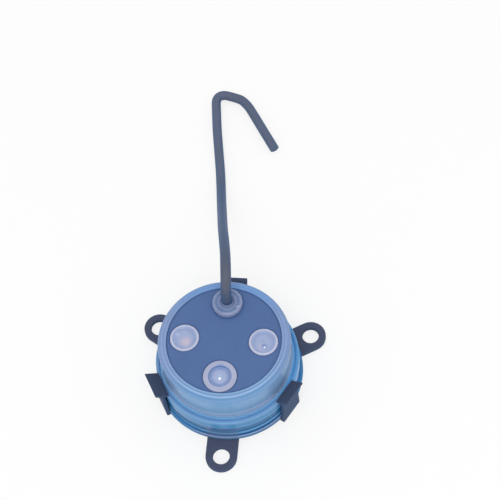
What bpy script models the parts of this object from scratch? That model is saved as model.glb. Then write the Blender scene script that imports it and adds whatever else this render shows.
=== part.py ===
# Point water leak sensor: a sealed plastic body held by a snap-in mounting bracket.
# Metres, +Z up. The origin is on the body's axis, at the bracket's underside, which is
# the plane that the sensor stands on. The front lug points along -Y, and the cord
# leaves through the boss at +Y.
import math

import bmesh
import bpy
from mathutils import Matrix, Vector

MM = 0.001

# Clearance between pieces that touch, and the small break on moulded edges.
GAP = 0.3 * MM
EDGE_BREAK = 0.2 * MM

# Bracket: a ring plate with holed lugs and upright snap arms between them.
BRACKET_THICKNESS = 1.5 * MM
BRACKET_RING_WIDTH = 2.3 * MM
LUG_COUNT = 3
LUG_WIDTH = 8.3 * MM
LUG_HOLE_DIAMETER = 4.5 * MM
LUG_REACH = 5.1 * MM
LUG_ROOT_FILLET = 1.6 * MM
ARM_WIDTH = 7.1 * MM
ARM_NECK_WIDTH = 6.3 * MM
ARM_THICKNESS = 0.9 * MM
ARM_FOOT_CHAMFER = 0.3 * MM
CATCH_OVERLAP = 0.75 * MM
NOSE_THICKNESS = 0.4 * MM
RAMP_RUN = 3.5 * MM
RAMP_RISE = 2.9 * MM
LIP_THICKNESS = 0.8 * MM

# Lower housing: a cup with a rim round its foot, a ledge on top and a sensing spigot
# that reaches down through the bracket's ring.
LEDGE_WIDTH = 1.7 * MM
HOUSING_HEIGHT = 9.2 * MM
HOUSING_FLOOR = 1.8 * MM
HOUSING_SHOULDER = 0.6 * MM
RIM_PROJECTION = 0.7 * MM
RIM_HEIGHT = 0.9 * MM
BAND_HEIGHT = 3.7 * MM
BAND_DEPTH = 0.15 * MM
LEDGE_GROOVE_WIDTH = 0.4 * MM
LEDGE_GROOVE_DEPTH = 0.35 * MM
SPIGOT_INSET = 4.4 * MM
SPIGOT_STANDOFF = 0.8 * MM

# Seal ring between the two housings.
SEAL_HEIGHT = 0.7 * MM
SEAL_PROJECTION = 0.15 * MM

# Upper housing: a tube with a spigot into the cup and a rounded shoulder on top.
SHELL_RADIUS = 17.3 * MM
SHELL_HEIGHT = 9.3 * MM
SHELL_RIM_WIDTH = 2.35 * MM
SHELL_SHOULDER = 1.5 * MM
SHELL_SPIGOT_LENGTH = 4.5 * MM
SHELL_SPIGOT_INSET = 1.8 * MM
SHELL_SPIGOT_WALL = 1.6 * MM
SCREW_POST_RADIUS = 2.4 * MM
SCREW_POST_HEIGHT = 4.8 * MM
SCREW_POST_WEB = 2.0 * MM

# Top disc, and the cross of fittings on it.
DISC_THICKNESS = 3.8 * MM
DISC_RECESS = 0.25 * MM
FITTING_INSET = 4.4 * MM
CAP_SEAT_DEPTH = 1.0 * MM
POCKET_DEPTH = 2.9 * MM

# Caps over the two screws that hold the disc down.
CAP_RADIUS = 3.8 * MM
CAP_HEIGHT = 0.8 * MM
CAP_RIM_WIDTH = 0.7 * MM
CAP_DISH = 0.15 * MM
CAP_STEM_RADIUS = 2.6 * MM
CAP_STEM_LENGTH = 0.7 * MM
SCREW_SHANK_RADIUS = 1.0 * MM
SCREW_HEAD_RADIUS = 2.1 * MM
SCREW_HEAD_HEIGHT = 0.9 * MM
SCREW_LENGTH = 4.4 * MM
SCREW_SLOT_WIDTH = 0.5 * MM
SCREW_SLOT_DEPTH = 0.4 * MM

# Indicator window, the light pipe below it and the lamp on the board.
WINDOW_RADIUS = 4.35 * MM
WINDOW_HEIGHT = 0.9 * MM
WINDOW_WELL_RADIUS = 2.9 * MM
WINDOW_WELL_DEPTH = 0.55 * MM
WINDOW_DOME_RADIUS = 2.1 * MM
WINDOW_DOME_HEIGHT = 0.45 * MM
LIGHT_PIPE_RADIUS = 1.4 * MM
LIGHT_PIPE_HEAD_RADIUS = 2.3 * MM
LAMP_LENGTH = 2.0 * MM
LAMP_WIDTH = 1.4 * MM
LAMP_HEIGHT = 0.7 * MM

# Cord boss with its nut below the disc.
BOSS_RADIUS = 3.95 * MM
BOSS_HEIGHT = 1.5 * MM
BOSS_SHOULDER = 0.6 * MM
BOSS_STEM_RADIUS = 2.5 * MM
BOSS_STEM_LENGTH = 6.6 * MM
BOSS_ENTRY_DEPTH = 1.1 * MM
BOSS_BORE_RADIUS = 1.25 * MM
NUT_ACROSS_FLATS = 6.8 * MM
NUT_HEIGHT = 1.8 * MM

# Cord, and the three cores that run from it to the board.
CORD_DIAMETER = 2.75 * MM
CORD_SAMPLE = 2.2 * MM
CORE_DIAMETER = 0.8 * MM
CORE_SAMPLE = 1.2 * MM
CORE_COUNT = 3
CORE_CIRCLE = 0.62 * MM

# Circuit board, its posts in the cup and what is soldered to it.
BOARD_CLEARANCE = 0.7 * MM
BOARD_THICKNESS = 1.2 * MM
BOARD_POST_COUNT = 3
BOARD_POST_RADIUS = 1.9 * MM
BOARD_POST_INSET = 2.6 * MM
BOARD_POST_HEIGHT = 6.0 * MM
BOARD_POST_HEADING = math.radians(60)
BOARD_SCREW_SHANK_RADIUS = 0.8 * MM
BOARD_SCREW_HEAD_RADIUS = 1.7 * MM
BOARD_SCREW_HEAD_HEIGHT = 0.8 * MM
BOARD_SCREW_LENGTH = 4.0 * MM
OPTIC_LENGTH = 3.0 * MM
OPTIC_WIDTH = 2.4 * MM
OPTIC_HEIGHT = 1.6 * MM
OPTIC_SPACING = 5.0 * MM
CHIP_LENGTH = 5.0 * MM
CHIP_WIDTH = 4.0 * MM
CHIP_HEIGHT = 1.5 * MM
CHIP_OFFSET = 2.5 * MM
TERMINAL_LENGTH = 5.4 * MM
TERMINAL_WIDTH = 2.6 * MM
TERMINAL_HEIGHT = 1.2 * MM
TERMINAL_OFFSET = 6.4 * MM
TERMINAL_PITCH = 1.6 * MM
CAPACITOR_OFFSET = 7.2 * MM
CAPACITOR_HEADING = math.radians(152)
CAPACITOR_RADIUS = 1.6 * MM
CAPACITOR_HEIGHT = 2.6 * MM

# Light guide in the middle of the sensing face, and the collar that holds it.
GUIDE_RADIUS = 4.2 * MM
GUIDE_HEIGHT = 5.6 * MM
GUIDE_FLANGE_WIDTH = 1.2 * MM
GUIDE_FLANGE_HEIGHT = 0.9 * MM
GUIDE_TIP_STANDOFF = 0.35 * MM
GUIDE_CONE_HEIGHT = 1.6 * MM
GUIDE_TIP_RADIUS = 1.2 * MM
COLLAR_WIDTH = 1.2 * MM
RETAINER_HEIGHT = 0.8 * MM

# Side counts of turned pieces, and the corner angle above which an edge stays sharp.
SEGMENTS_LARGE = 60
SEGMENTS_MEDIUM = 28
SEGMENTS_SMALL = 16
SMOOTH_ANGLE = math.radians(35)
WELD = 0.001 * MM

# Heights and radii that follow from the values above.
HOUSING_RADIUS = SHELL_RADIUS + LEDGE_WIDTH
SPIGOT_RADIUS = HOUSING_RADIUS - SPIGOT_INSET
LUG_HOLE_CIRCLE = HOUSING_RADIUS + LUG_REACH
BRACKET_BORE = SPIGOT_RADIUS + GAP
BRACKET_RING = BRACKET_BORE + BRACKET_RING_WIDTH
ARM_INNER = HOUSING_RADIUS + GAP
ARM_OUTER = ARM_INNER + ARM_THICKNESS
HOUSING_UNDERSIDE = BRACKET_THICKNESS + GAP
RIM_TOP = HOUSING_UNDERSIDE + RIM_HEIGHT
LEDGE = HOUSING_UNDERSIDE + HOUSING_HEIGHT
CATCH = LEDGE + GAP
SHELL_SPIGOT_RADIUS = SHELL_RADIUS - SHELL_SPIGOT_INSET
CAVITY_RADIUS = SHELL_SPIGOT_RADIUS + GAP
CAVITY_FLOOR = SPIGOT_STANDOFF + HOUSING_FLOOR
SEAL_UNDERSIDE = LEDGE + GAP
SHELL_UNDERSIDE = SEAL_UNDERSIDE + SEAL_HEIGHT + GAP
SHELL_TOP = SHELL_UNDERSIDE + SHELL_HEIGHT
SHELL_BORE = SHELL_SPIGOT_RADIUS - SHELL_SPIGOT_WALL
DISC_RECESS_RADIUS = SHELL_RADIUS - SHELL_RIM_WIDTH
DISC_RADIUS = DISC_RECESS_RADIUS - GAP
FITTING_CIRCLE = DISC_RADIUS - FITTING_INSET
DISC_TOP = SHELL_TOP - DISC_RECESS
DISC_UNDERSIDE = DISC_TOP - DISC_THICKNESS
DISC_SEAT = DISC_UNDERSIDE - GAP
POCKET_FLOOR = DISC_TOP - POCKET_DEPTH
POCKET_RADIUS = CAP_STEM_RADIUS + GAP
CAP_SEAT = DISC_TOP - CAP_SEAT_DEPTH
CAP_UNDERSIDE = CAP_SEAT + GAP
CAP_STEM_END = CAP_UNDERSIDE - CAP_STEM_LENGTH
FITTING_UNDERSIDE = DISC_TOP + GAP
BOARD_RADIUS = SHELL_BORE - BOARD_CLEARANCE
BOARD_POST_CIRCLE = BOARD_RADIUS - BOARD_POST_INSET
BOARD_UNDERSIDE = CAVITY_FLOOR + BOARD_POST_HEIGHT + GAP
BOARD_TOP = BOARD_UNDERSIDE + BOARD_THICKNESS
BOSS_TOP = FITTING_UNDERSIDE + BOSS_HEIGHT
BOSS_ENTRY_FLOOR = BOSS_TOP - BOSS_ENTRY_DEPTH
BOSS_STEM_END = FITTING_UNDERSIDE - BOSS_STEM_LENGTH
CORD_START = BOSS_ENTRY_FLOOR + GAP
GUIDE_BORE = GUIDE_RADIUS + GAP
GUIDE_FLANGE_RADIUS = GUIDE_RADIUS + GUIDE_FLANGE_WIDTH
GUIDE_FLANGE_UNDERSIDE = CAVITY_FLOOR + GAP
RETAINER_UNDERSIDE = GUIDE_FLANGE_UNDERSIDE + GUIDE_FLANGE_HEIGHT + GAP
COLLAR_INNER = GUIDE_FLANGE_RADIUS + GAP
COLLAR_TOP = RETAINER_UNDERSIDE + RETAINER_HEIGHT

# Route of the cord from its boss, chosen by hand: straight up, over in an arc and down
# towards the ground behind the body, measured from the mouth of the boss; then along
# the ground to the kink and back to the cut end, measured in plan from the same mouth.
CORD_ARC = [
    (0.0, 0.0, 0.0),
    (0.0, 0.0, 3.5),
    (0.1, 0.7, 6.9),
    (0.1, 2.6, 9.4),
    (-0.2, 5.7, 10.2),
    (-0.9, 10.1, 8.5),
    (-2.1, 15.9, 4.5),
    (-3.6, 22.7, -1.3),
    (-5.2, 30.6, -8.4),
    (-6.9, 39.4, -15.5),
    (-8.2, 47.0, -19.9),
]
CORD_GROUND = [
    (-9.2, 53.6),
    (-10.4, 60.7),
    (-11.6, 67.9),
    (-12.5, 74.5),
    (-12.9, 77.8),
    (-12.7, 79.0),
    (-12.1, 79.9),
    (-11.1, 80.3),
    (-10.0, 80.3),
    (-7.4, 79.6),
    (-5.2, 78.7),
    (-3.1, 76.6),
    (-1.2, 73.7),
    (2.2, 68.1),
    (6.0, 61.9),
]


def clear_scene():
    for obj in list(bpy.data.objects):
        bpy.data.objects.remove(obj, do_unlink=True)


def finish(name, colour, roughness, metallic=0.0, transmission=0.0):
    """A Principled material for one kind of piece."""
    made = bpy.data.materials.new(name)
    made.use_nodes = True
    shader = made.node_tree.nodes["Principled BSDF"]
    shader.inputs["Base Color"].default_value = (*colour, 1.0)
    shader.inputs["Roughness"].default_value = roughness
    shader.inputs["Metallic"].default_value = metallic
    shader.inputs["Transmission Weight"].default_value = transmission
    return made


def arc(centre, radius, start, end, steps):
    """Points on a round stretch of an outline, both ends included."""
    points = []
    for step in range(steps + 1):
        angle = start + (end - start) * step / steps
        points.append((centre[0] + radius * math.cos(angle), centre[1] + radius * math.sin(angle)))
    return points


def around(heading, distance):
    """The place at a distance from the axis in a heading, in plan."""
    return Vector((distance * math.cos(heading), distance * math.sin(heading)))


def add_object(name, mesh, material, place=(0.0, 0.0, 0.0), heading=0.0):
    data = bpy.data.meshes.new(name)
    mesh.to_mesh(data)
    mesh.free()
    data.materials.append(material)
    data.shade_smooth()
    data.set_sharp_from_angle(angle=SMOOTH_ANGLE)
    obj = bpy.data.objects.new(name, data)
    obj.location = place
    obj.rotation_euler.z = heading
    bpy.context.scene.collection.objects.link(obj)
    return obj


def turned(name, outline, material, segments=SEGMENTS_LARGE, place=(0.0, 0.0)):
    """Turn a closed outline of (radius, height) points about the vertical at a place."""
    mesh = bmesh.new()
    ring = [mesh.verts.new((radius, 0.0, height)) for radius, height in outline]
    edges = []
    for first, second in zip(ring, ring[1:] + ring[:1]):
        if max(first.co.x, second.co.x) > WELD:
            edges.append(mesh.edges.new((first, second)))
    bmesh.ops.spin(
        mesh,
        geom=ring + edges,
        cent=(0.0, 0.0, 0.0),
        axis=(0.0, 0.0, 1.0),
        angle=math.tau,
        steps=segments,
        use_merge=True,
    )
    bmesh.ops.remove_doubles(mesh, verts=mesh.verts[:], dist=WELD)
    flat_ends = []
    for vert in mesh.verts:
        heights = [edge.other_vert(vert).co.z - vert.co.z for edge in vert.link_edges]
        if vert.co.xy.length < WELD and max(map(abs, heights)) < WELD:
            flat_ends.append(vert)
    bmesh.ops.dissolve_verts(mesh, verts=flat_ends)
    bmesh.ops.recalc_face_normals(mesh, faces=mesh.faces[:])
    return add_object(name, mesh, material, (place[0], place[1], 0.0))


def plate(name, outline, holes, bottom, thickness, material):
    """Raise a flat outline with holes in it to a plate."""
    mesh = bmesh.new()
    edges = []
    for loop in [outline] + holes:
        verts = [mesh.verts.new((x, y, bottom)) for x, y in loop]
        edges += [mesh.edges.new(pair) for pair in zip(verts, verts[1:] + verts[:1])]
    bmesh.ops.triangle_fill(mesh, use_beauty=True, edges=edges)
    grown = bmesh.ops.extrude_face_region(mesh, geom=mesh.faces[:])["geom"]
    upper = [item for item in grown if isinstance(item, bmesh.types.BMVert)]
    bmesh.ops.translate(mesh, vec=(0.0, 0.0, thickness), verts=upper)
    bmesh.ops.recalc_face_normals(mesh, faces=mesh.faces[:])
    return add_object(name, mesh, material)


def spread(name, profile, half_width, material, heading):
    """Spread a side profile of (radius, height) points sideways, to a half width that
    may change with height, and turn it to a heading."""
    mesh = bmesh.new()
    left = [mesh.verts.new((radius, half_width(height), height)) for radius, height in profile]
    right = [mesh.verts.new((radius, -half_width(height), height)) for radius, height in profile]
    mesh.faces.new(left)
    mesh.faces.new(right[::-1])
    for index in range(len(profile)):
        mesh.faces.new((left[index], left[index - 1], right[index - 1], right[index]))
    bmesh.ops.recalc_face_normals(mesh, faces=mesh.faces[:])
    return add_object(name, mesh, material, heading=heading)


def block(name, size, place, material, heading=0.0, soften=0.0):
    """A block whose underside is centred on a place."""
    mesh = bmesh.new()
    bmesh.ops.create_cube(mesh, size=1.0)
    bmesh.ops.scale(mesh, vec=size, verts=mesh.verts[:])
    bmesh.ops.translate(mesh, vec=(0.0, 0.0, size[2] / 2), verts=mesh.verts[:])
    obj = add_object(name, mesh, material, place, heading)
    if soften:
        bevel = obj.modifiers.new("Edges", "BEVEL")
        bevel.width = soften
        bevel.segments = 1
    return obj


def as_tool(obj):
    obj.hide_render = True
    obj.display_type = "WIRE"


def combine(target, tool, operation):
    as_tool(tool)
    step = target.modifiers.new(tool.name, "BOOLEAN")
    step.operation = operation
    step.object = tool
    step.solver = "EXACT"


def cut(target, tool):
    combine(target, tool, "DIFFERENCE")


def join(target, tool):
    combine(target, tool, "UNION")


def rod(name, place, radius, bottom, top, material, segments=SEGMENTS_SMALL):
    """A plain upright rod, for holes and posts."""
    outline = [(0.0, bottom), (radius, bottom), (radius, top), (0.0, top)]
    return turned(name, outline, material, segments, place)


def smooth_route(route, spacing):
    """Points at an even spacing along a smooth curve through the route's points."""
    points = [Vector(point) for point in route]
    ends = [2 * points[0] - points[1]] + points + [2 * points[-1] - points[-2]]
    fine = []
    for before, start, end, after in zip(ends, ends[1:], ends[2:], ends[3:]):
        for step in range(24):
            t = step / 24
            pull = (end - before) * t + (2 * before - 5 * start + 4 * end - after) * t * t
            pull += (3 * start - before - 3 * end + after) * t * t * t
            fine.append(start + pull / 2)
    fine.append(points[-1])
    reach = [0.0]
    for start, end in zip(fine, fine[1:]):
        reach.append(reach[-1] + (end - start).length)
    count = max(2, round(reach[-1] / spacing))
    even = []
    index = 0
    for step in range(count + 1):
        wanted = reach[-1] * step / count
        while index < len(reach) - 2 and reach[index + 1] < wanted:
            index += 1
        share = (wanted - reach[index]) / (reach[index + 1] - reach[index])
        even.append(fine[index].lerp(fine[index + 1], min(1.0, share)))
    return even


def tube(name, route, diameter, spacing, material):
    """A round cord along a route."""
    curve = bpy.data.curves.new(name, "CURVE")
    curve.dimensions = "3D"
    curve.bevel_depth = diameter / 2
    curve.bevel_resolution = 2
    curve.use_fill_caps = True
    points = smooth_route(route, spacing)
    spline = curve.splines.new("POLY")
    spline.points.add(len(points) - 1)
    for target, point in zip(spline.points, points):
        target.co = (*point, 1.0)
    curve.materials.append(material)
    obj = bpy.data.objects.new(name, curve)
    bpy.context.scene.collection.objects.link(obj)
    return obj


def cord_route():
    """The cord's centre line in the part's own frame."""
    mouth = Vector((*fitting_place(2), CORD_START))
    arc_points = [mouth + Vector(offset) * MM for offset in CORD_ARC]
    ground = [mouth.to_2d() + Vector(offset) * MM for offset in CORD_GROUND]
    return arc_points + [(*place, CORD_DIAMETER / 2) for place in ground]


def lug_heading(index):
    return math.radians(-90) + math.tau * index / LUG_COUNT


def arm_heading(index):
    return lug_heading(index) + math.pi / LUG_COUNT


def bracket_outline():
    """Outer edge of the bracket's plate: ring, lugs and the fillets at their roots."""
    half = LUG_WIDTH / 2
    fillet_y = half + LUG_ROOT_FILLET
    fillet_x = math.sqrt((BRACKET_RING + LUG_ROOT_FILLET) ** 2 - fillet_y**2)
    root = math.atan2(fillet_y, fillet_x)
    sector = math.pi / LUG_COUNT
    right = math.pi / 2
    side = arc((0.0, 0.0), BRACKET_RING, -sector, -root, 8)[:-1]
    side += arc((fillet_x, -fillet_y), LUG_ROOT_FILLET, math.pi - root, right, 5)
    side += arc((LUG_HOLE_CIRCLE, 0.0), half, -right, 0.0, 8)
    outline = []
    for index in range(LUG_COUNT):
        turn = Matrix.Rotation(lug_heading(index), 2)
        mirrored = [(x, -y) for x, y in side[:-1]][::-1]
        outline += [tuple(turn @ Vector(point)) for point in side + mirrored[:-1]]
    return outline


def build_bracket(plastic):
    """One moulding: the ring plate, the lugs and the snap arms with their ramped heads."""
    holes = [arc((0.0, 0.0), BRACKET_BORE, 0.0, math.tau, SEGMENTS_LARGE)[:-1]]
    for index in range(LUG_COUNT):
        centre = around(lug_heading(index), LUG_HOLE_CIRCLE)
        holes.append(arc(centre, LUG_HOLE_DIAMETER / 2, 0.0, math.tau, SEGMENTS_MEDIUM)[:-1])
    bracket = plate(
        "mounting_bracket", bracket_outline(), holes, 0.0, BRACKET_THICKNESS, plastic
    )
    edges = bracket.modifiers.new("Edges", "BEVEL")
    edges.width = EDGE_BREAK
    edges.segments = 1
    edges.limit_method = "ANGLE"
    edges.angle_limit = math.radians(60)
    catch_radius = HOUSING_RADIUS - CATCH_OVERLAP
    ramp_outer = catch_radius + RAMP_RUN
    nose_top = CATCH + NOSE_THICKNESS
    steepness = RAMP_RISE / RAMP_RUN
    into_head = nose_top - LIP_THICKNESS / 2
    arm_profile = [
        (BRACKET_BORE + BRACKET_RING_WIDTH / 3, 0.0),
        (ARM_OUTER - ARM_FOOT_CHAMFER, 0.0),
        (ARM_OUTER, ARM_FOOT_CHAMFER),
        (ARM_OUTER, into_head + steepness * (ARM_OUTER - catch_radius)),
        (ARM_INNER, into_head + steepness * (ARM_INNER - catch_radius)),
        (ARM_INNER, BRACKET_THICKNESS),
        (BRACKET_BORE + BRACKET_RING_WIDTH / 3, BRACKET_THICKNESS),
    ]
    head_profile = [
        (catch_radius, CATCH),
        (ARM_INNER + ARM_THICKNESS / 2, CATCH),
        (ramp_outer, nose_top + RAMP_RISE - LIP_THICKNESS),
        (ramp_outer, nose_top + RAMP_RISE),
        (catch_radius, nose_top),
    ]
    slope = (ARM_WIDTH - ARM_NECK_WIDTH) / 2 / CATCH
    for index in range(LUG_COUNT):
        heading = arm_heading(index)
        join(bracket, spread(
            f"arm_{index}",
            arm_profile,
            lambda height: ARM_WIDTH / 2 - slope * height,
            plastic,
            heading,
        ))
        join(bracket, spread(
            f"head_{index}", head_profile, lambda height: ARM_WIDTH / 2, plastic, heading
        ))
    return bracket


def build_lower_housing(clear_plastic):
    """The cup, with posts for the board and a collar for the light guide."""
    foot = HOUSING_RADIUS + RIM_PROJECTION
    band_top = RIM_TOP + BAND_HEIGHT
    groove_inner = SHELL_RADIUS + SEAL_PROJECTION + GAP
    groove_outer = groove_inner + LEDGE_GROOVE_WIDTH
    outline = [
        (GUIDE_BORE, SPIGOT_STANDOFF),
        (SPIGOT_RADIUS - EDGE_BREAK, SPIGOT_STANDOFF),
        (SPIGOT_RADIUS, SPIGOT_STANDOFF + EDGE_BREAK),
        (SPIGOT_RADIUS, HOUSING_UNDERSIDE),
        (foot - EDGE_BREAK, HOUSING_UNDERSIDE),
        (foot, HOUSING_UNDERSIDE + EDGE_BREAK),
        (foot, RIM_TOP - EDGE_BREAK),
        (foot - EDGE_BREAK, RIM_TOP),
        (HOUSING_RADIUS - BAND_DEPTH, RIM_TOP),
        (HOUSING_RADIUS - BAND_DEPTH, band_top),
        (HOUSING_RADIUS, band_top + BAND_DEPTH),
    ]
    outline += arc(
        (HOUSING_RADIUS - HOUSING_SHOULDER, LEDGE - HOUSING_SHOULDER),
        HOUSING_SHOULDER, 0.0, math.pi / 2, 4,
    )
    outline += [
        (groove_outer, LEDGE),
        (groove_outer, LEDGE - LEDGE_GROOVE_DEPTH),
        (groove_inner, LEDGE - LEDGE_GROOVE_DEPTH),
        (groove_inner, LEDGE),
        (CAVITY_RADIUS, LEDGE),
        (CAVITY_RADIUS, CAVITY_FLOOR),
        (COLLAR_INNER + COLLAR_WIDTH, CAVITY_FLOOR),
        (COLLAR_INNER + COLLAR_WIDTH, COLLAR_TOP),
        (COLLAR_INNER, COLLAR_TOP),
        (COLLAR_INNER, CAVITY_FLOOR),
        (GUIDE_BORE, CAVITY_FLOOR),
    ]
    housing = turned("lower_housing", outline, clear_plastic)
    root = CAVITY_FLOOR - HOUSING_FLOOR / 3
    top = CAVITY_FLOOR + BOARD_POST_HEIGHT
    reach = BOARD_SCREW_LENGTH - BOARD_THICKNESS
    for index in range(BOARD_POST_COUNT):
        place = board_post_place(index)
        join(housing, rod(
            f"board_post_{index}", place, BOARD_POST_RADIUS, root, top, clear_plastic
        ))
        cut(housing, rod(
            f"board_post_hole_{index}",
            place,
            BOARD_SCREW_SHANK_RADIUS + GAP,
            top - reach - GAP,
            top + GAP,
            clear_plastic,
        ))
    for index in range(LUG_COUNT):
        depth = RIM_PROJECTION + 2 * GAP
        centre = around(arm_heading(index), HOUSING_RADIUS + depth / 2)
        cut(housing, block(
            f"rim_notch_{index}",
            (depth, ARM_WIDTH + 2 * GAP, RIM_HEIGHT + 2 * GAP),
            (*centre, HOUSING_UNDERSIDE - GAP),
            clear_plastic,
            arm_heading(index),
        ))
    return housing


def board_post_place(index):
    heading = BOARD_POST_HEADING + math.tau * index / BOARD_POST_COUNT
    return around(heading, BOARD_POST_CIRCLE)


def build_seal(rubber):
    inner = SHELL_SPIGOT_RADIUS + GAP
    outer = SHELL_RADIUS + SEAL_PROJECTION
    top = SEAL_UNDERSIDE + SEAL_HEIGHT
    outline = [
        (inner, SEAL_UNDERSIDE),
        (outer - EDGE_BREAK, SEAL_UNDERSIDE),
        (outer, SEAL_UNDERSIDE + EDGE_BREAK),
        (outer, top - EDGE_BREAK),
        (outer - EDGE_BREAK, top),
        (inner, top),
    ]
    return turned("seal_ring", outline, rubber)


def fitting_place(index):
    """Front window, right cap, cord boss and left cap, a quarter turn apart."""
    return around(math.radians(-90) + math.pi / 2 * index, FITTING_CIRCLE)


def build_upper_shell(clear_plastic):
    """The tube, with two posts inside that take the disc's screws."""
    spigot_end = SHELL_UNDERSIDE - SHELL_SPIGOT_LENGTH
    outline = [
        (SHELL_BORE, spigot_end),
        (SHELL_SPIGOT_RADIUS - EDGE_BREAK, spigot_end),
        (SHELL_SPIGOT_RADIUS, spigot_end + EDGE_BREAK),
        (SHELL_SPIGOT_RADIUS, SHELL_UNDERSIDE),
        (SHELL_RADIUS, SHELL_UNDERSIDE),
    ]
    outline += arc(
        (SHELL_RADIUS - SHELL_SHOULDER, SHELL_TOP - SHELL_SHOULDER),
        SHELL_SHOULDER, 0.0, math.pi / 2, 6,
    )
    outline += [
        (DISC_RECESS_RADIUS, SHELL_TOP),
        (DISC_RECESS_RADIUS, DISC_SEAT),
        (SHELL_BORE, DISC_SEAT),
    ]
    shell = turned("upper_shell", outline, clear_plastic)
    bottom = DISC_SEAT - SCREW_POST_HEIGHT
    for index in (1, 3):
        place = fitting_place(index)
        join(shell, rod(
            f"screw_post_{index}", place, SCREW_POST_RADIUS, bottom, DISC_SEAT, clear_plastic
        ))
        web_length = SHELL_BORE - FITTING_CIRCLE + SHELL_SPIGOT_WALL / 2
        web_centre = place * (1 + web_length / 2 / FITTING_CIRCLE)
        join(shell, block(
            f"screw_post_web_{index}",
            (web_length, SCREW_POST_WEB, SCREW_POST_HEIGHT),
            (*web_centre, bottom),
            clear_plastic,
        ))
        cut(shell, rod(
            f"screw_post_hole_{index}",
            place,
            SCREW_SHANK_RADIUS + GAP,
            POCKET_FLOOR - SCREW_LENGTH,
            DISC_SEAT + GAP,
            clear_plastic,
        ))
    return shell


def build_top_disc(dark_plastic):
    """The lid: sunk seats for the caps, pockets below them, screw holes and the boss's hole."""
    outline = [
        (0.0, DISC_UNDERSIDE),
        (DISC_RADIUS, DISC_UNDERSIDE),
        (DISC_RADIUS, DISC_TOP - EDGE_BREAK),
        (DISC_RADIUS - EDGE_BREAK, DISC_TOP),
        (0.0, DISC_TOP),
    ]
    disc = turned("top_disc", outline, dark_plastic)
    holes = [
        ("window", LIGHT_PIPE_RADIUS, WINDOW_RADIUS),
        ("right_cap", SCREW_SHANK_RADIUS, CAP_RADIUS),
        ("boss", BOSS_STEM_RADIUS, None),
        ("left_cap", SCREW_SHANK_RADIUS, CAP_RADIUS),
    ]
    above = DISC_TOP + GAP
    for index, (name, bore, seat) in enumerate(holes):
        place = fitting_place(index)
        cut(disc, rod(
            f"{name}_bore", place, bore + GAP, DISC_UNDERSIDE - GAP, above, dark_plastic,
            SEGMENTS_MEDIUM,
        ))
        if seat:
            cut(disc, rod(
                f"{name}_pocket", place, POCKET_RADIUS, POCKET_FLOOR, above, dark_plastic,
                SEGMENTS_MEDIUM,
            ))
            cut(disc, rod(
                f"{name}_seat", place, seat + GAP, CAP_SEAT, above, dark_plastic,
                SEGMENTS_MEDIUM,
            ))
    return disc


def build_cap(name, index, frosted):
    """A cap with a raised rim, pressed into the disc over a screw."""
    top = CAP_UNDERSIDE + CAP_HEIGHT
    inside = CAP_RADIUS - CAP_RIM_WIDTH
    outline = [
        (0.0, CAP_STEM_END),
        (CAP_STEM_RADIUS, CAP_STEM_END),
        (CAP_STEM_RADIUS, CAP_UNDERSIDE),
        (CAP_RADIUS, CAP_UNDERSIDE),
    ]
    outline += arc(
        (CAP_RADIUS - 2 * EDGE_BREAK, top - 2 * EDGE_BREAK), 2 * EDGE_BREAK, 0.0, math.pi / 2, 3
    )
    outline += [
        (inside, top),
        (inside - CAP_DISH, top - CAP_DISH),
        (0.0, top - CAP_DISH / 2),
    ]
    return turned(name, outline, frosted, SEGMENTS_MEDIUM, fitting_place(index))


def build_window(frosted):
    """The indicator window: a wider cap with a well and a low dome in it."""
    top = CAP_UNDERSIDE + WINDOW_HEIGHT
    well = top - WINDOW_WELL_DEPTH
    outline = [
        (0.0, CAP_STEM_END),
        (CAP_STEM_RADIUS, CAP_STEM_END),
        (CAP_STEM_RADIUS, CAP_UNDERSIDE),
        (WINDOW_RADIUS, CAP_UNDERSIDE),
    ]
    outline += arc(
        (WINDOW_RADIUS - 2 * EDGE_BREAK, top - 2 * EDGE_BREAK), 2 * EDGE_BREAK, 0.0, math.pi / 2, 3
    )
    outline += [
        (WINDOW_WELL_RADIUS + EDGE_BREAK, top),
        (WINDOW_WELL_RADIUS, top - EDGE_BREAK),
        (WINDOW_WELL_RADIUS, well),
        (WINDOW_DOME_RADIUS, well),
    ]
    sphere = (WINDOW_DOME_RADIUS**2 + WINDOW_DOME_HEIGHT**2) / 2 / WINDOW_DOME_HEIGHT
    lowest = math.acos(WINDOW_DOME_RADIUS / sphere)
    centre = (0.0, well + WINDOW_DOME_HEIGHT - sphere)
    outline += arc(centre, sphere, lowest, math.pi / 2, 4)[1:-1]
    outline.append((0.0, well + WINDOW_DOME_HEIGHT))
    return turned("window_cap", outline, frosted, SEGMENTS_MEDIUM, fitting_place(0))


def build_screw(name, place, head_underside, shank, head, head_height, length, metal):
    """A slotted pan head screw. Its thread is left to the surface finish."""
    top = head_underside + head_height
    outline = [
        (0.0, head_underside - length),
        (shank - EDGE_BREAK, head_underside - length),
        (shank, head_underside - length + EDGE_BREAK),
        (shank, head_underside),
        (head, head_underside),
        (head, top - EDGE_BREAK),
        (head - EDGE_BREAK, top),
        (0.0, top),
    ]
    screw = turned(name, outline, metal, SEGMENTS_SMALL, place)
    cut(screw, block(
        f"{name}_slot",
        (3 * head, SCREW_SLOT_WIDTH, 2 * SCREW_SLOT_DEPTH),
        (*place, top - SCREW_SLOT_DEPTH),
        metal,
    ))
    return screw


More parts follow.
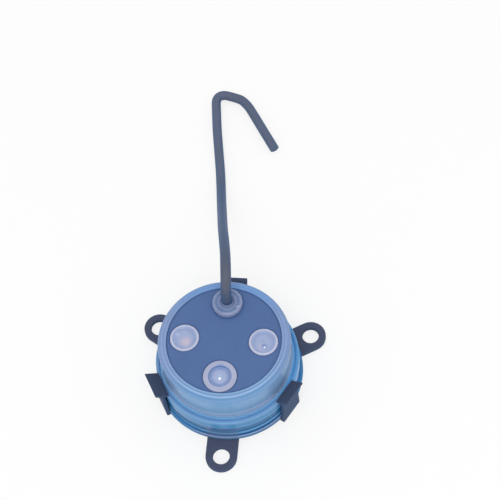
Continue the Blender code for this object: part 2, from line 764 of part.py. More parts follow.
def build_light_pipe(clear):
    """A clear rod from the lamp to the window, hung by its head in the disc's pocket."""
    seat = POCKET_FLOOR + GAP
    bottom = BOARD_TOP + GAP + LAMP_HEIGHT + GAP
    outline = [
        (0.0, bottom),
        (LIGHT_PIPE_RADIUS, bottom),
        (LIGHT_PIPE_RADIUS, seat),
        (LIGHT_PIPE_HEAD_RADIUS, seat),
        (LIGHT_PIPE_HEAD_RADIUS, CAP_STEM_END - GAP),
        (0.0, CAP_STEM_END - GAP),
    ]
    return turned("light_pipe", outline, clear, SEGMENTS_SMALL, fitting_place(0))


def build_boss(frosted):
    """The cord's boss: a rounded collar on the disc and a stem through it for the nut."""
    entry = CORD_DIAMETER / 2 + GAP
    outline = [
        (BOSS_BORE_RADIUS, BOSS_STEM_END),
        (BOSS_STEM_RADIUS, BOSS_STEM_END),
        (BOSS_STEM_RADIUS, FITTING_UNDERSIDE),
        (BOSS_RADIUS, FITTING_UNDERSIDE),
    ]
    outline += arc(
        (BOSS_RADIUS - BOSS_SHOULDER, BOSS_TOP - BOSS_SHOULDER), BOSS_SHOULDER, 0.0, math.pi / 2, 4
    )
    outline += [
        (entry + EDGE_BREAK, BOSS_TOP),
        (entry, BOSS_TOP - EDGE_BREAK),
        (entry, BOSS_ENTRY_FLOOR),
        (BOSS_BORE_RADIUS, BOSS_ENTRY_FLOOR),
    ]
    return turned("cord_boss", outline, frosted, SEGMENTS_MEDIUM, fitting_place(2))


def build_nut(metal):
    """The hexagon nut that draws the boss down on the disc."""
    corner = NUT_ACROSS_FLATS / 2 / math.cos(math.pi / 6)
    bottom = DISC_UNDERSIDE - GAP - NUT_HEIGHT
    place = fitting_place(2)
    hexagon = arc(place, corner, 0.0, math.tau, 6)[:-1]
    hole = arc(place, BOSS_STEM_RADIUS + GAP, 0.0, math.tau, SEGMENTS_MEDIUM)[:-1]
    return plate("boss_nut", hexagon, [hole], bottom, NUT_HEIGHT, metal)


def build_board(laminate):
    board = rod(
        "circuit_board", (0.0, 0.0), BOARD_RADIUS, BOARD_UNDERSIDE, BOARD_TOP, laminate,
        SEGMENTS_LARGE,
    )
    for index in range(BOARD_POST_COUNT):
        cut(board, rod(
            f"board_hole_{index}",
            board_post_place(index),
            BOARD_SCREW_SHANK_RADIUS + GAP,
            BOARD_UNDERSIDE - GAP,
            BOARD_TOP + GAP,
            laminate,
        ))
    return board


def build_guide(clear):
    """The light guide: a stub with a cone below, seated by its flange in the collar."""
    tip = GUIDE_TIP_STANDOFF
    outline = [
        (0.0, tip),
        (GUIDE_TIP_RADIUS, tip),
        (GUIDE_RADIUS, tip + GUIDE_CONE_HEIGHT),
        (GUIDE_RADIUS, GUIDE_FLANGE_UNDERSIDE),
        (GUIDE_FLANGE_RADIUS, GUIDE_FLANGE_UNDERSIDE),
        (GUIDE_FLANGE_RADIUS, GUIDE_FLANGE_UNDERSIDE + GUIDE_FLANGE_HEIGHT),
        (GUIDE_RADIUS, GUIDE_FLANGE_UNDERSIDE + GUIDE_FLANGE_HEIGHT),
        (GUIDE_RADIUS, tip + GUIDE_HEIGHT),
        (0.0, tip + GUIDE_HEIGHT),
    ]
    return turned("light_guide", outline, clear, SEGMENTS_MEDIUM)


def build_retainer(metal):
    """The ring pressed into the collar above the guide's flange."""
    inner = GUIDE_RADIUS + GAP
    top = RETAINER_UNDERSIDE + RETAINER_HEIGHT
    outline = [
        (inner, RETAINER_UNDERSIDE),
        (GUIDE_FLANGE_RADIUS, RETAINER_UNDERSIDE),
        (GUIDE_FLANGE_RADIUS, top),
        (inner, top),
    ]
    return turned("guide_retainer", outline, metal, SEGMENTS_MEDIUM)


def build_board_parts(black_plastic, white_plastic, metal, tin):
    """What is soldered to the board: optics below, lamp, chip and terminals above."""
    optic_size = (OPTIC_LENGTH, OPTIC_WIDTH, OPTIC_HEIGHT)
    optic_bottom = BOARD_UNDERSIDE - GAP - OPTIC_HEIGHT
    for name, side in (("emitter", -1), ("receiver", 1)):
        place = (side * OPTIC_SPACING / 2, 0.0, optic_bottom)
        block(name, optic_size, place, black_plastic, soften=EDGE_BREAK)
    seat = BOARD_TOP + GAP
    lamp_size = (LAMP_LENGTH, LAMP_WIDTH, LAMP_HEIGHT)
    block("indicator_lamp", lamp_size, (*fitting_place(0), seat), white_plastic, soften=EDGE_BREAK)
    chip_size = (CHIP_LENGTH, CHIP_WIDTH, CHIP_HEIGHT)
    block("driver_chip", chip_size, (0.0, -CHIP_OFFSET, seat), black_plastic, soften=EDGE_BREAK)
    terminal_size = (TERMINAL_LENGTH, TERMINAL_WIDTH, TERMINAL_HEIGHT)
    block("terminal_strip", terminal_size, (0.0, TERMINAL_OFFSET, seat), tin, soften=EDGE_BREAK)
    top = seat + CAPACITOR_HEIGHT
    outline = [
        (0.0, seat),
        (CAPACITOR_RADIUS, seat),
        (CAPACITOR_RADIUS, top - EDGE_BREAK),
        (CAPACITOR_RADIUS - EDGE_BREAK, top),
        (0.0, top),
    ]
    place = around(CAPACITOR_HEADING, CAPACITOR_OFFSET)
    turned("capacitor", outline, metal, SEGMENTS_SMALL, place)


def build_cores(colours):
    """The cord's cores, from the end of the cord down to the terminals on the board."""
    start = BOSS_ENTRY_FLOOR - GAP / 3
    end = BOARD_TOP + GAP + TERMINAL_HEIGHT + GAP
    centre = fitting_place(2)
    for index, (name, material) in enumerate(colours):
        offset = around(math.radians(210) + math.tau * index / CORE_COUNT, CORE_CIRCLE)
        top = centre + offset
        side = round(offset.x / CORE_CIRCLE)
        foot = Vector((side * TERMINAL_PITCH, TERMINAL_OFFSET))
        middle = (top + foot) / 2
        route = [
            (*top, start),
            (*top, (start + BOSS_STEM_END) / 2),
            (*top, BOSS_STEM_END),
            (*middle, (BOSS_STEM_END + end) / 2),
            (*foot, end + 2 * CORE_DIAMETER),
            (*foot, end),
        ]
        tube(name, route, CORE_DIAMETER, CORE_SAMPLE, material)


def build():
    clear_scene()
    bracket_plastic = finish("bracket plastic", (0.062, 0.060, 0.095), 0.55)
    housing_plastic = finish("housing plastic", (0.20, 0.36, 0.62), 0.28, transmission=0.3)
    disc_plastic = finish("disc plastic", (0.085, 0.17, 0.38), 0.40)
    frosted = finish("frosted plastic", (0.50, 0.54, 0.72), 0.35, transmission=0.2)
    rubber = finish("seal rubber", (0.36, 0.40, 0.62), 0.60)
    clear = finish("clear plastic", (0.80, 0.86, 0.92), 0.10, transmission=0.9)
    jacket = finish("cord jacket", (0.125, 0.14, 0.23), 0.50)
    laminate = finish("board laminate", (0.02, 0.12, 0.05), 0.45)
    black_plastic = finish("component black", (0.015, 0.015, 0.018), 0.50)
    white_plastic = finish("component white", (0.75, 0.75, 0.70), 0.45)
    steel = finish("bright steel", (0.60, 0.60, 0.62), 0.30, metallic=1.0)
    tin = finish("solder tin", (0.55, 0.55, 0.56), 0.40, metallic=1.0)
    core_colours = [
        ("core_brown", finish("core brown", (0.16, 0.06, 0.02), 0.45)),
        ("core_blue", finish("core blue", (0.02, 0.08, 0.35), 0.45)),
        ("core_black", finish("core black", (0.02, 0.02, 0.02), 0.45)),
    ]

    build_bracket(bracket_plastic)
    build_lower_housing(housing_plastic)
    build_seal(rubber)
    build_upper_shell(housing_plastic)
    build_top_disc(disc_plastic)
    build_cap("right_cap", 1, frosted)
    build_cap("left_cap", 3, frosted)
    build_window(frosted)
    for name, index in (("right_screw", 1), ("left_screw", 3)):
        build_screw(
            name, fitting_place(index), POCKET_FLOOR + GAP, SCREW_SHANK_RADIUS,
            SCREW_HEAD_RADIUS, SCREW_HEAD_HEIGHT, SCREW_LENGTH, steel,
        )
    build_light_pipe(clear)
    build_boss(frosted)
    build_nut(steel)
    build_board(laminate)
    for index in range(BOARD_POST_COUNT):
        build_screw(
            f"board_screw_{index + 1}", board_post_place(index), BOARD_TOP + GAP,
            BOARD_SCREW_SHANK_RADIUS, BOARD_SCREW_HEAD_RADIUS, BOARD_SCREW_HEAD_HEIGHT,
            BOARD_SCREW_LENGTH, steel,
        )
    build_guide(clear)
    build_retainer(steel)
    build_board_parts(black_plastic, white_plastic, steel, tin)
    build_cores(core_colours)
    tube("cord_jacket", cord_route(), CORD_DIAMETER, CORD_SAMPLE, jacket)


build()
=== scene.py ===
import math

import bmesh
import bpy
from mathutils import Matrix, Vector


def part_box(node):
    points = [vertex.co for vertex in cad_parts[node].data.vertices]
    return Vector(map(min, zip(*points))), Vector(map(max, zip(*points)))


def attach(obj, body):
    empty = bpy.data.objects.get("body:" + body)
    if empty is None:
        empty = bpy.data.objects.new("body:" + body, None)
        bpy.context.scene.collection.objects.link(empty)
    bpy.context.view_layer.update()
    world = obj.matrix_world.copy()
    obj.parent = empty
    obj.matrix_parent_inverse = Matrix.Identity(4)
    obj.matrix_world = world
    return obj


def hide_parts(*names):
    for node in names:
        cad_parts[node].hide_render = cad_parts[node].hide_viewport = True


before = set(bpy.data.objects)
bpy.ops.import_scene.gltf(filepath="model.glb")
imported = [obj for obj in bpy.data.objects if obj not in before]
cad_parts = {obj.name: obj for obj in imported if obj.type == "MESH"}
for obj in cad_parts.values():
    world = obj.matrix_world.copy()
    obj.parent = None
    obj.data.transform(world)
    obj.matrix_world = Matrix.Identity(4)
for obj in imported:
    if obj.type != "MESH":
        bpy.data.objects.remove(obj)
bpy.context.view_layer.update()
MM = 0.001

# The view.
# The sensor stands on a pale surface and is looked down on from the front at a steep
# angle, a little turned and a little tilted, through a long lens.
VIEW_AZIMUTH = math.radians(12.34)
VIEW_ELEVATION = math.radians(60.46)
VIEW_ROLL = math.radians(-8.15)
VIEW_TARGET = Vector((1.75, 38.54, 0.0)) * MM
VIEW_DISTANCE = 397.18 * MM
VIEW_LENS = 100.8
sideways = Vector((math.cos(VIEW_AZIMUTH), math.sin(VIEW_AZIMUTH), 0.0))
backwards = Vector((
    math.sin(VIEW_AZIMUTH) * math.cos(VIEW_ELEVATION),
    -math.cos(VIEW_AZIMUTH) * math.cos(VIEW_ELEVATION),
    math.sin(VIEW_ELEVATION),
))
level = Matrix((sideways, backwards.cross(sideways), backwards)).transposed()
camera_data = bpy.data.cameras.new("view")
camera_data.lens = VIEW_LENS
camera = bpy.data.objects.new("view", camera_data)
camera.matrix_world = Matrix.LocRotScale(
    VIEW_TARGET + backwards * VIEW_DISTANCE,
    level @ Matrix.Rotation(VIEW_ROLL, 3, "Z"),
    None,
)
bpy.context.scene.collection.objects.link(camera)
bpy.context.scene.camera = camera
bpy.context.scene.view_settings.view_transform = "Standard"


# The cord.
# A stiff round cable with a smooth grey blue jacket. It stands in the boss's mouth, bends
# over behind the body and lies on the ground, where it is kinked once and cut off.
CORD_DIAMETER = 2.75 * MM
CORD_STEPS = 6
# Tones along the cord by its distance from the boss's mouth; the darkest, in the mouth, is
# painted shade.
CORD_TONES_AND_MOUTH_SHADE = [
    (1.8 * MM, (0.050, 0.058, 0.090)),
    (3.2 * MM, (0.108, 0.117, 0.158)),
    (14.0 * MM, (0.092, 0.106, 0.152)),
    (30.0 * MM, (0.088, 0.107, 0.164)),
    (60.0 * MM, (0.100, 0.122, 0.188)),
]
# Painted shade towards the cord's edges, where it turns away from the view.
CORD_EDGE_SHADE = (0.030, 0.095, 0.225)
CORD_MOUTH = Vector((0.0, 10.25, 22.35)) * MM
CORD_ARC = [
    (0.0, 0.0, 0.0),
    (0.0, 0.0, 3.5),
    (0.1, 0.7, 6.9),
    (0.1, 2.6, 9.4),
    (-0.2, 5.7, 10.2),
    (-0.9, 10.1, 8.5),
    (-2.1, 15.9, 4.5),
    (-3.6, 22.7, -1.3),
    (-5.2, 30.6, -8.4),
    (-6.9, 39.4, -15.5),
    (-8.2, 47.0, -19.9),
]
CORD_GROUND = [
    (-9.2, 53.6),
    (-10.4, 60.7),
    (-11.6, 67.9),
    (-12.5, 74.5),
    (-12.9, 77.8),
    (-12.7, 79.0),
    (-12.1, 79.9),
    (-11.1, 80.3),
    (-10.0, 80.3),
    (-7.4, 79.6),
    (-5.2, 78.7),
    (-3.1, 76.6),
    (-1.2, 73.7),
    (2.2, 68.1),
    (6.0, 61.9),
]


def smooth_line(points, steps):
    """A smooth line through given points, with some steps between each two."""
    ends = [2 * points[0] - points[1]] + points + [2 * points[-1] - points[-2]]
    line = []
    for before, start, end, after in zip(ends, ends[1:], ends[2:], ends[3:]):
        for step in range(steps):
            t = step / steps
            pull = (end - before) * t + (2 * before - 5 * start + 4 * end - after) * t * t
            pull += (3 * start - before - 3 * end + after) * t**3
            line.append(start + pull / 2)
    return line + [points[-1]]


def place_node(tree, kind, inputs=(), **settings):
    """Add a node with its settings, and set or link its inputs by name."""
    made = tree.nodes.new("ShaderNode" + kind)
    for setting, value in settings.items():
        setattr(made, setting, value)
    for socket, value in dict(inputs).items():
        if isinstance(value, bpy.types.NodeSocket):
            tree.links.new(value, made.inputs[socket])
        else:
            made.inputs[socket].default_value = value
    return made


def new_group(name, inputs, outputs):
    """A node group with its sockets, and its input and output nodes."""
    group = bpy.data.node_groups.new(name, "ShaderNodeTree")
    for in_out, sockets in (("INPUT", inputs), ("OUTPUT", outputs)):
        for socket, kind in sockets.items():
            group.interface.new_socket(socket, in_out=in_out, socket_type="NodeSocket" + kind)
    return group, group.nodes.new("NodeGroupInput"), group.nodes.new("NodeGroupOutput")


def reckon(tree, operation, *values):
    """The result of one step of arithmetic on values or sockets."""
    return place_node(tree, "Math", enumerate(values), operation=operation).outputs[0]


def sum_of(tree, *values):
    """The sum of some values or sockets."""
    total = values[0]
    for value in values[1:]:
        total = reckon(tree, "ADD", total, value)
    return total


def product_of(tree, *values):
    """The product of some values or sockets."""
    product = values[0]
    for value in values[1:]:
        product = reckon(tree, "MULTIPLY", product, value)
    return product


def share_between(tree, value, start, end, smooth=True):
    """How far a value has come from a start to an end, as a share from 0 to 1."""
    limits = {"Value": value, "From Min": start, "From Max": end}
    kind = "SMOOTHSTEP" if smooth else "LINEAR"
    return place_node(tree, "MapRange", limits, interpolation_type=kind).outputs[0]


def blended(tree, share, first, second):
    """The colour between two colours, at a share from 0 to 1."""
    mixed = place_node(tree, "Mix", data_type="RGBA")
    for socket, value in (("Factor_Float", share), ("A_Color", first), ("B_Color", second)):
        target = next(item for item in mixed.inputs if item.identifier == socket)
        if isinstance(value, bpy.types.NodeSocket):
            tree.links.new(value, target)
        elif socket == "Factor_Float":
            target.default_value = value
        else:
            target.default_value = (*value, 1.0)
    return next(item for item in mixed.outputs if item.identifier == "Result_Color")


moulded, given, result = new_group(
    "moulded surface",
    {
        "Color": "Color", "Drift": "Float", "Drift Scale": "Float",
        "Grain": "Float", "Grain Scale": "Float", "Roughness": "Float",
    },
    {"Color": "Color", "Roughness": "Float", "Height": "Float"},
)
where = place_node(moulded, "TexCoord").outputs["Object"]
waves = []
for scale, strength in (("Drift Scale", "Drift"), ("Grain Scale", "Grain")):
    noise = place_node(
        moulded, "TexNoise", {"Vector": where, "Scale": given.outputs[scale], "Detail": 3.0}
    ).outputs[0]
    centred = sum_of(moulded, noise, -0.5)
    waves.append(product_of(moulded, centred, 2.0, given.outputs[strength]))
brightness = sum_of(moulded, 1.0, *waves)
painted = place_node(
    moulded, "VectorMath", {0: given.outputs["Color"], "Scale": brightness}, operation="SCALE"
)
moulded.links.new(painted.outputs[0], result.inputs["Color"])
moulded.links.new(
    sum_of(moulded, given.outputs["Roughness"], waves[0]), result.inputs["Roughness"]
)
moulded.links.new(noise, result.inputs["Height"])


def new_material(name, **sockets):
    """A material with the plain values of its shader's sockets."""
    made = bpy.data.materials.new(name)
    made.use_nodes = True
    shader = made.node_tree.nodes["Principled BSDF"]
    for socket, value in sockets.items():
        shader.inputs[socket.replace("_", " ")].default_value = value
    return made, made.node_tree, shader


def lead_surface(tree, shader, surface, relief, depth):
    """Lead a surface's colour, roughness and relief to a shader."""
    bump = place_node(tree, "Bump", {
        "Height": surface.outputs["Height"], "Strength": relief, "Distance": depth,
    })
    tree.links.new(surface.outputs["Color"], shader.inputs["Base Color"])
    tree.links.new(surface.outputs["Roughness"], shader.inputs["Roughness"])
    tree.links.new(bump.outputs["Normal"], shader.inputs["Normal"])


def lay_surface(tree, shader, colour, roughness, drift, drift_scale, grain, grain_scale, relief):
    """Give a shader a moulded surface: slow drift of tone, fine grain and low relief."""
    if not isinstance(colour, bpy.types.NodeSocket):
        colour = (*colour, 1.0)
    surface = place_node(tree, "Group", {
        "Color": colour, "Drift": drift, "Drift Scale": drift_scale,
        "Grain": grain, "Grain Scale": grain_scale, "Roughness": roughness,
    }, node_tree=moulded)
    lead_surface(tree, shader, surface, relief, depth=0.02 * MM)


def ramp(tree, value, stops):
    """Colours at the given values, with a smooth change between them."""
    low, high = stops[0][0], stops[-1][0]
    share = share_between(tree, value, low, high, smooth=False)
    made = place_node(tree, "ValToRGB", {0: share})
    elements = made.color_ramp.elements
    for index, (at, colour) in enumerate(stops):
        position = (at - low) / (high - low)
        if index < 2:
            elements[index].position = position
            element = elements[index]
        else:
            element = elements.new(position)
        element.color = (*colour, 1.0)
    return made.outputs["Color"]


cord_route = [CORD_MOUTH + Vector(offset) * MM for offset in CORD_ARC]
cord_route += [
    Vector((CORD_MOUTH.x + x * MM, CORD_MOUTH.y + y * MM, CORD_DIAMETER / 2))
    for x, y in CORD_GROUND
]
cord_line = smooth_line(cord_route, CORD_STEPS)
cord_curve = bpy.data.curves.new("cord", "CURVE")
cord_curve.dimensions = "3D"
cord_curve.bevel_depth = CORD_DIAMETER / 2
cord_curve.bevel_resolution = 8
cord_curve.use_fill_caps = True
cord_spline = cord_curve.splines.new("POLY")
cord_spline.points.add(len(cord_line) - 1)
for spline_point, place in zip(cord_spline.points, cord_line):
    spline_point.co = (*place, 1.0)
cord_spline.use_smooth = True
cord = bpy.data.objects.new("cord", cord_curve)
bpy.context.scene.collection.objects.link(cord)
jacket, tree, shader = new_material("cord jacket", IOR=1.38, Specular_IOR_Level=0.25)
reach = place_node(
    tree, "VectorMath",
    {0: place_node(tree, "TexCoord").outputs["Object"], 1: CORD_MOUTH},
    operation="DISTANCE",
).outputs["Value"]
# Painted shade: the jacket turns darker and bluer towards its edges.
edge_shade = place_node(tree, "LayerWeight", {"Blend": 0.35}).outputs["Facing"]
edge_shade = place_node(
    tree, "MapRange", {"Value": edge_shade, "From Min": 0.12, "From Max": 0.75, "To Max": 0.9}
).outputs[0]
lay_surface(
    tree, shader, blended(tree, edge_shade, ramp(tree, reach, CORD_TONES_AND_MOUTH_SHADE), CORD_EDGE_SHADE), 0.45,
    drift=0.10, drift_scale=160.0, grain=0.08, grain_scale=3200.0, relief=0.25,
)
cord_curve.materials.append(jacket)
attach(cord, "root")
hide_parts("cord_jacket")


# The mounting bracket.
# One moulding of dark, slightly violet plastic: a ring plate with three holed lugs, and
# three snap arms between them that end in ramped heads. Its faces have a fine matt grain.
# Its upright faces are painted bluer than its flat ones, as a painted reflection.
BRACKET_FLAT = (0.065, 0.081, 0.136)
BRACKET_UPRIGHT_REFLECTION = (0.044, 0.078, 0.160)
BRACKET_HEAD = (0.066, 0.088, 0.150)
HEAD_HEIGHT = 10.5 * MM

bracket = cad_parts["mounting_bracket"]
soft_edges = bracket.modifiers.new("soft edges", "BEVEL")
soft_edges.width = 0.08 * MM
soft_edges.segments = 2
soft_edges.limit_method = "ANGLE"
soft_edges.angle_limit = math.radians(38)
soft_edges.harden_normals = True


def dress_node(node, material):
    """Put a material on a piece that keeps its own solid."""
    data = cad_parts[node].data
    data.materials.clear()
    data.materials.append(material)


bracket_plastic, tree, shader = new_material("bracket plastic", Specular_IOR_Level=0.08)
facing = place_node(
    tree, "SeparateXYZ", {0: place_node(tree, "TexCoord").outputs["Normal"]}
).outputs["Z"]
flatness = share_between(tree, facing, 0.15, 0.70)
height = place_node(
    tree, "SeparateXYZ", {0: place_node(tree, "TexCoord").outputs["Object"]}
).outputs["Z"]
on_head = share_between(tree, height, HEAD_HEIGHT - MM, HEAD_HEIGHT, smooth=False)
flat_tone = blended(tree, on_head, BRACKET_FLAT, BRACKET_HEAD)
# Painted reflection: upright faces take a bluer colour than flat ones.
lay_surface(
    tree, shader, blended(tree, flatness, BRACKET_UPRIGHT_REFLECTION, flat_tone), 0.55,
    drift=0.10, drift_scale=220.0, grain=0.10, grain_scale=4200.0, relief=0.45,
)
dress_node("mounting_bracket", bracket_plastic)


# The lower housing.
# A turned and moulded cup of milky blue fluoroplastic, snapped under the bracket's heads.
# Its steps and grooves are painted as lighter and darker rings, with painted highlights on
# its edges and painted shade in its steps and along the rim's top; its right side is painted
# lighter and bluer as painted light.
HOUSING_HEIGHT = 9.2 * MM
RIM_PROJECTION = 0.7 * MM
RIM_HEIGHT = 0.9 * MM
RIM_ROUND = 0.2 * MM
WALL_BAND_HEIGHT = 3.7 * MM
WALL_BAND_DEPTH = 0.15 * MM
WALL_RIB_HEIGHT = 0.5 * MM
WALL_RIB_DEPTH = 0.12 * MM
WALL_RIB_SHARE = 0.62
HOUSING_SHOULDER = 0.6 * MM
SPIGOT_INSET = 4.4 * MM
HOUSING_FLOOR = 1.8 * MM
CAVITY_INSET = 3.2 * MM
LEDGE_GROOVE_INSET = 0.85 * MM
LEDGE_GROOVE_WIDTH = 0.4 * MM
LEDGE_GROOVE_DEPTH = 0.35 * MM
GUIDE_BORE = 4.5 * MM
COLLAR_INNER = 5.7 * MM
COLLAR_WIDTH = 1.2 * MM
COLLAR_HEIGHT = 2.3 * MM
POST_RADIUS = 1.9 * MM
POST_HOLE_RADIUS = 1.1 * MM
POST_HOLE_DEPTH = 3.1 * MM
POST_CIRCLE = 10.6 * MM
POST_HEIGHT = 6.0 * MM
POST_HEADINGS = [math.radians(angle) for angle in (60, 180, 300)]
NOTCH_WIDTH = 7.7 * MM
NOTCH_HEADINGS = [math.radians(angle) for angle in (-30, 90, 210)]
SHARP_ANGLE = math.radians(32)
TOUCHING = 0.001 * MM

housing_low, housing_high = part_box("lower_housing")
HOUSING_FOOT_RADIUS = housing_high.x
HOUSING_RADIUS = HOUSING_FOOT_RADIUS - RIM_PROJECTION
LEDGE = housing_high.z
SPIGOT_END = housing_low.z
HOUSING_UNDERSIDE = LEDGE - HOUSING_HEIGHT


def round_corner(centre, radius, start, end, steps):
    """Points of (radius, height) on a round corner of a profile, between two angles."""
    points = []
    for step in range(steps + 1):
        angle = math.radians(start + (end - start) * step / steps)
        across = centre[0] + radius * math.cos(angle)
        points.append((across, centre[1] + radius * math.sin(angle)))
    return points


def new_piece(name, mesh):
    """Put a finished mesh into the scene as an object."""
    data = bpy.data.meshes.new(name)
    mesh.to_mesh(data)
    mesh.free()
    piece = bpy.data.objects.new(name, data)
    bpy.context.scene.collection.objects.link(piece)
    return piece


def smooth_faces(data):
    """Shade a mesh smoothly between its sharp edges."""
    data.shade_smooth()
    data.set_sharp_from_angle(angle=SHARP_ANGLE)


def turn(name, profile, segments=240, centre=(0.0, 0.0)):
    """Turn a closed profile of (radius, height) points about an upright axis."""
    mesh = bmesh.new()
    ring = [mesh.verts.new((radius, 0.0, height)) for radius, height in profile]
    edges = []
    for first, second in zip(ring, ring[1:] + ring[:1]):
        if max(first.co.x, second.co.x) > TOUCHING:
            edges.append(mesh.edges.new((first, second)))
    bmesh.ops.spin(
        mesh, geom=ring + edges, cent=(0.0, 0.0, 0.0), axis=(0.0, 0.0, 1.0),
        angle=math.tau, steps=segments, use_merge=True,
    )
    bmesh.ops.remove_doubles(mesh, verts=mesh.verts[:], dist=TOUCHING)
    bmesh.ops.recalc_face_normals(mesh, faces=mesh.faces[:])
    bmesh.ops.translate(mesh, vec=(*centre, 0.0), verts=mesh.verts[:])
    piece = new_piece(name, mesh)
    smooth_faces(piece.data)
    return piece


def shape(piece, tools):
    """Join tools to a piece or cut them out of it, and take the tools away."""
    for tool, operation in tools:
        step = piece.modifiers.new(tool.name, "BOOLEAN")
        step.object = tool
        step.operation = operation
        step.solver = "EXACT"
    seen = piece.evaluated_get(bpy.context.evaluated_depsgraph_get())
    finished = bpy.data.meshes.new_from_object(seen)
    piece.modifiers.clear()
    piece.data = finished
    smooth_faces(finished)
    for tool, _ in tools:
        bpy.data.objects.remove(tool)


def rod(name, centre, radius, bottom, top, segments=48):
    """An upright round rod about a place in plan."""
    profile = [(0.0, bottom), (radius, bottom), (radius, top), (0.0, top)]
    return turn(name, profile, segments, centre)


def block(name, length, width, bottom, top, centre, heading):
    """An upright block that points in a heading, about a place in plan."""
    mesh = bmesh.new()
    bmesh.ops.create_cube(mesh, size=1.0)
    bmesh.ops.scale(mesh, vec=(length, width, top - bottom), verts=mesh.verts[:])
    place = Matrix.Translation((*centre, (top + bottom) / 2)) @ Matrix.Rotation(heading, 4, "Z")
    bmesh.ops.transform(mesh, matrix=place, verts=mesh.verts[:])
    return new_piece(name, mesh)


def in_heading(heading, distance):
    """The place in plan at a distance from the body's axis."""
    return (distance * math.cos(heading), distance * math.sin(heading))


def settle(piece, material, node=None):
    """Fix a piece to the body with its material, in place of a node where it has one."""
    piece.data.materials.clear()
    piece.data.materials.append(material)
    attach(piece, "root")
    if node:
        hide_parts(node)


rim_top = HOUSING_UNDERSIDE + RIM_HEIGHT
band_top = rim_top + WALL_BAND_HEIGHT
rib_middle = rim_top + WALL_BAND_HEIGHT * WALL_RIB_SHARE
spigot = HOUSING_RADIUS - SPIGOT_INSET
cavity = HOUSING_RADIUS - CAVITY_INSET
cavity_floor = SPIGOT_END + HOUSING_FLOOR
groove = HOUSING_RADIUS - LEDGE_GROOVE_INSET
band = HOUSING_RADIUS - WALL_BAND_DEPTH
profile = [(GUIDE_BORE, SPIGOT_END), (spigot - RIM_ROUND, SPIGOT_END)]
profile += [(spigot, SPIGOT_END + RIM_ROUND), (spigot, HOUSING_UNDERSIDE)]
profile += round_corner(
    (HOUSING_FOOT_RADIUS - RIM_ROUND, HOUSING_UNDERSIDE + RIM_ROUND), RIM_ROUND, -90, 0, 4
)
profile += round_corner(
    (HOUSING_FOOT_RADIUS - RIM_ROUND, rim_top - RIM_ROUND), RIM_ROUND, 0, 90, 4
)
profile += [
    (band, rim_top),
    (band, rib_middle - WALL_RIB_HEIGHT / 2),
    (band + WALL_RIB_DEPTH, rib_middle - WALL_RIB_HEIGHT / 4),
    (band + WALL_RIB_DEPTH, rib_middle + WALL_RIB_HEIGHT / 4),
    (band, rib_middle + WALL_RIB_HEIGHT / 2),
    (band, band_top),
    (HOUSING_RADIUS, band_top + WALL_BAND_DEPTH),
]
profile += round_corner(
    (HOUSING_RADIUS - HOUSING_SHOULDER, LEDGE - HOUSING_SHOULDER), HOUSING_SHOULDER, 0, 90, 8
)
profile += [
    (groove, LEDGE),
    (groove - LEDGE_GROOVE_WIDTH / 4, LEDGE - LEDGE_GROOVE_DEPTH),
    (groove - LEDGE_GROOVE_WIDTH, LEDGE - LEDGE_GROOVE_DEPTH),
    (groove - LEDGE_GROOVE_WIDTH, LEDGE),
    (cavity, LEDGE),
    (cavity, cavity_floor),
    (COLLAR_INNER + COLLAR_WIDTH, cavity_floor),
    (COLLAR_INNER + COLLAR_WIDTH, cavity_floor + COLLAR_HEIGHT),
    (COLLAR_INNER, cavity_floor + COLLAR_HEIGHT),
    (COLLAR_INNER, cavity_floor),
    (GUIDE_BORE, cavity_floor),
]
lower_housing = turn("lower_cup", profile)
tools = []
post_top = cavity_floor + POST_HEIGHT
for number, heading in enumerate(POST_HEADINGS):
    centre = in_heading(heading, POST_CIRCLE)
    tools.append((
        rod(f"post {number}", centre, POST_RADIUS, cavity_floor - RIM_ROUND, post_top), "UNION"
    ))
    hole_bottom = post_top - POST_HOLE_DEPTH
    tools.append((
        rod(f"hole {number}", centre, POST_HOLE_RADIUS, hole_bottom, post_top + MM), "DIFFERENCE"
    ))
for number, heading in enumerate(NOTCH_HEADINGS):
    depth = 2 * RIM_PROJECTION
    centre = in_heading(heading, HOUSING_RADIUS + depth / 2)
    tools.append((
        block(
            f"notch {number}", depth, NOTCH_WIDTH, HOUSING_UNDERSIDE - MM, rim_top + RIM_ROUND,
            centre, heading,
        ),
        "DIFFERENCE",
    ))
shape(lower_housing, tools)

turned_place, given, result = new_group(
    "place on a turned piece",
    {"Centre": "Vector"},
    {"Radius": "Float", "Height": "Float", "Heading": "Float"},
)
where = place_node(turned_place, "TexCoord").outputs["Object"]
offset = place_node(
    turned_place, "VectorMath", {0: where, 1: given.outputs["Centre"]}, operation="SUBTRACT"
).outputs[0]
flat = place_node(
    turned_place, "VectorMath", {0: offset, 1: (1.0, 1.0, 0.0)}, operation="MULTIPLY"
).outputs[0]
length = place_node(turned_place, "VectorMath", {0: flat}, operation="LENGTH").outputs["Value"]
split = place_node(turned_place, "SeparateXYZ", {0: offset})
turned_place.links.new(length, result.inputs["Radius"])
turned_place.links.new(split.outputs["Z"], result.inputs["Height"])
turned_place.links.new(
    reckon(turned_place, "ARCTAN2", split.outputs["Y"], split.outputs["X"]),
    result.inputs["Heading"],
)

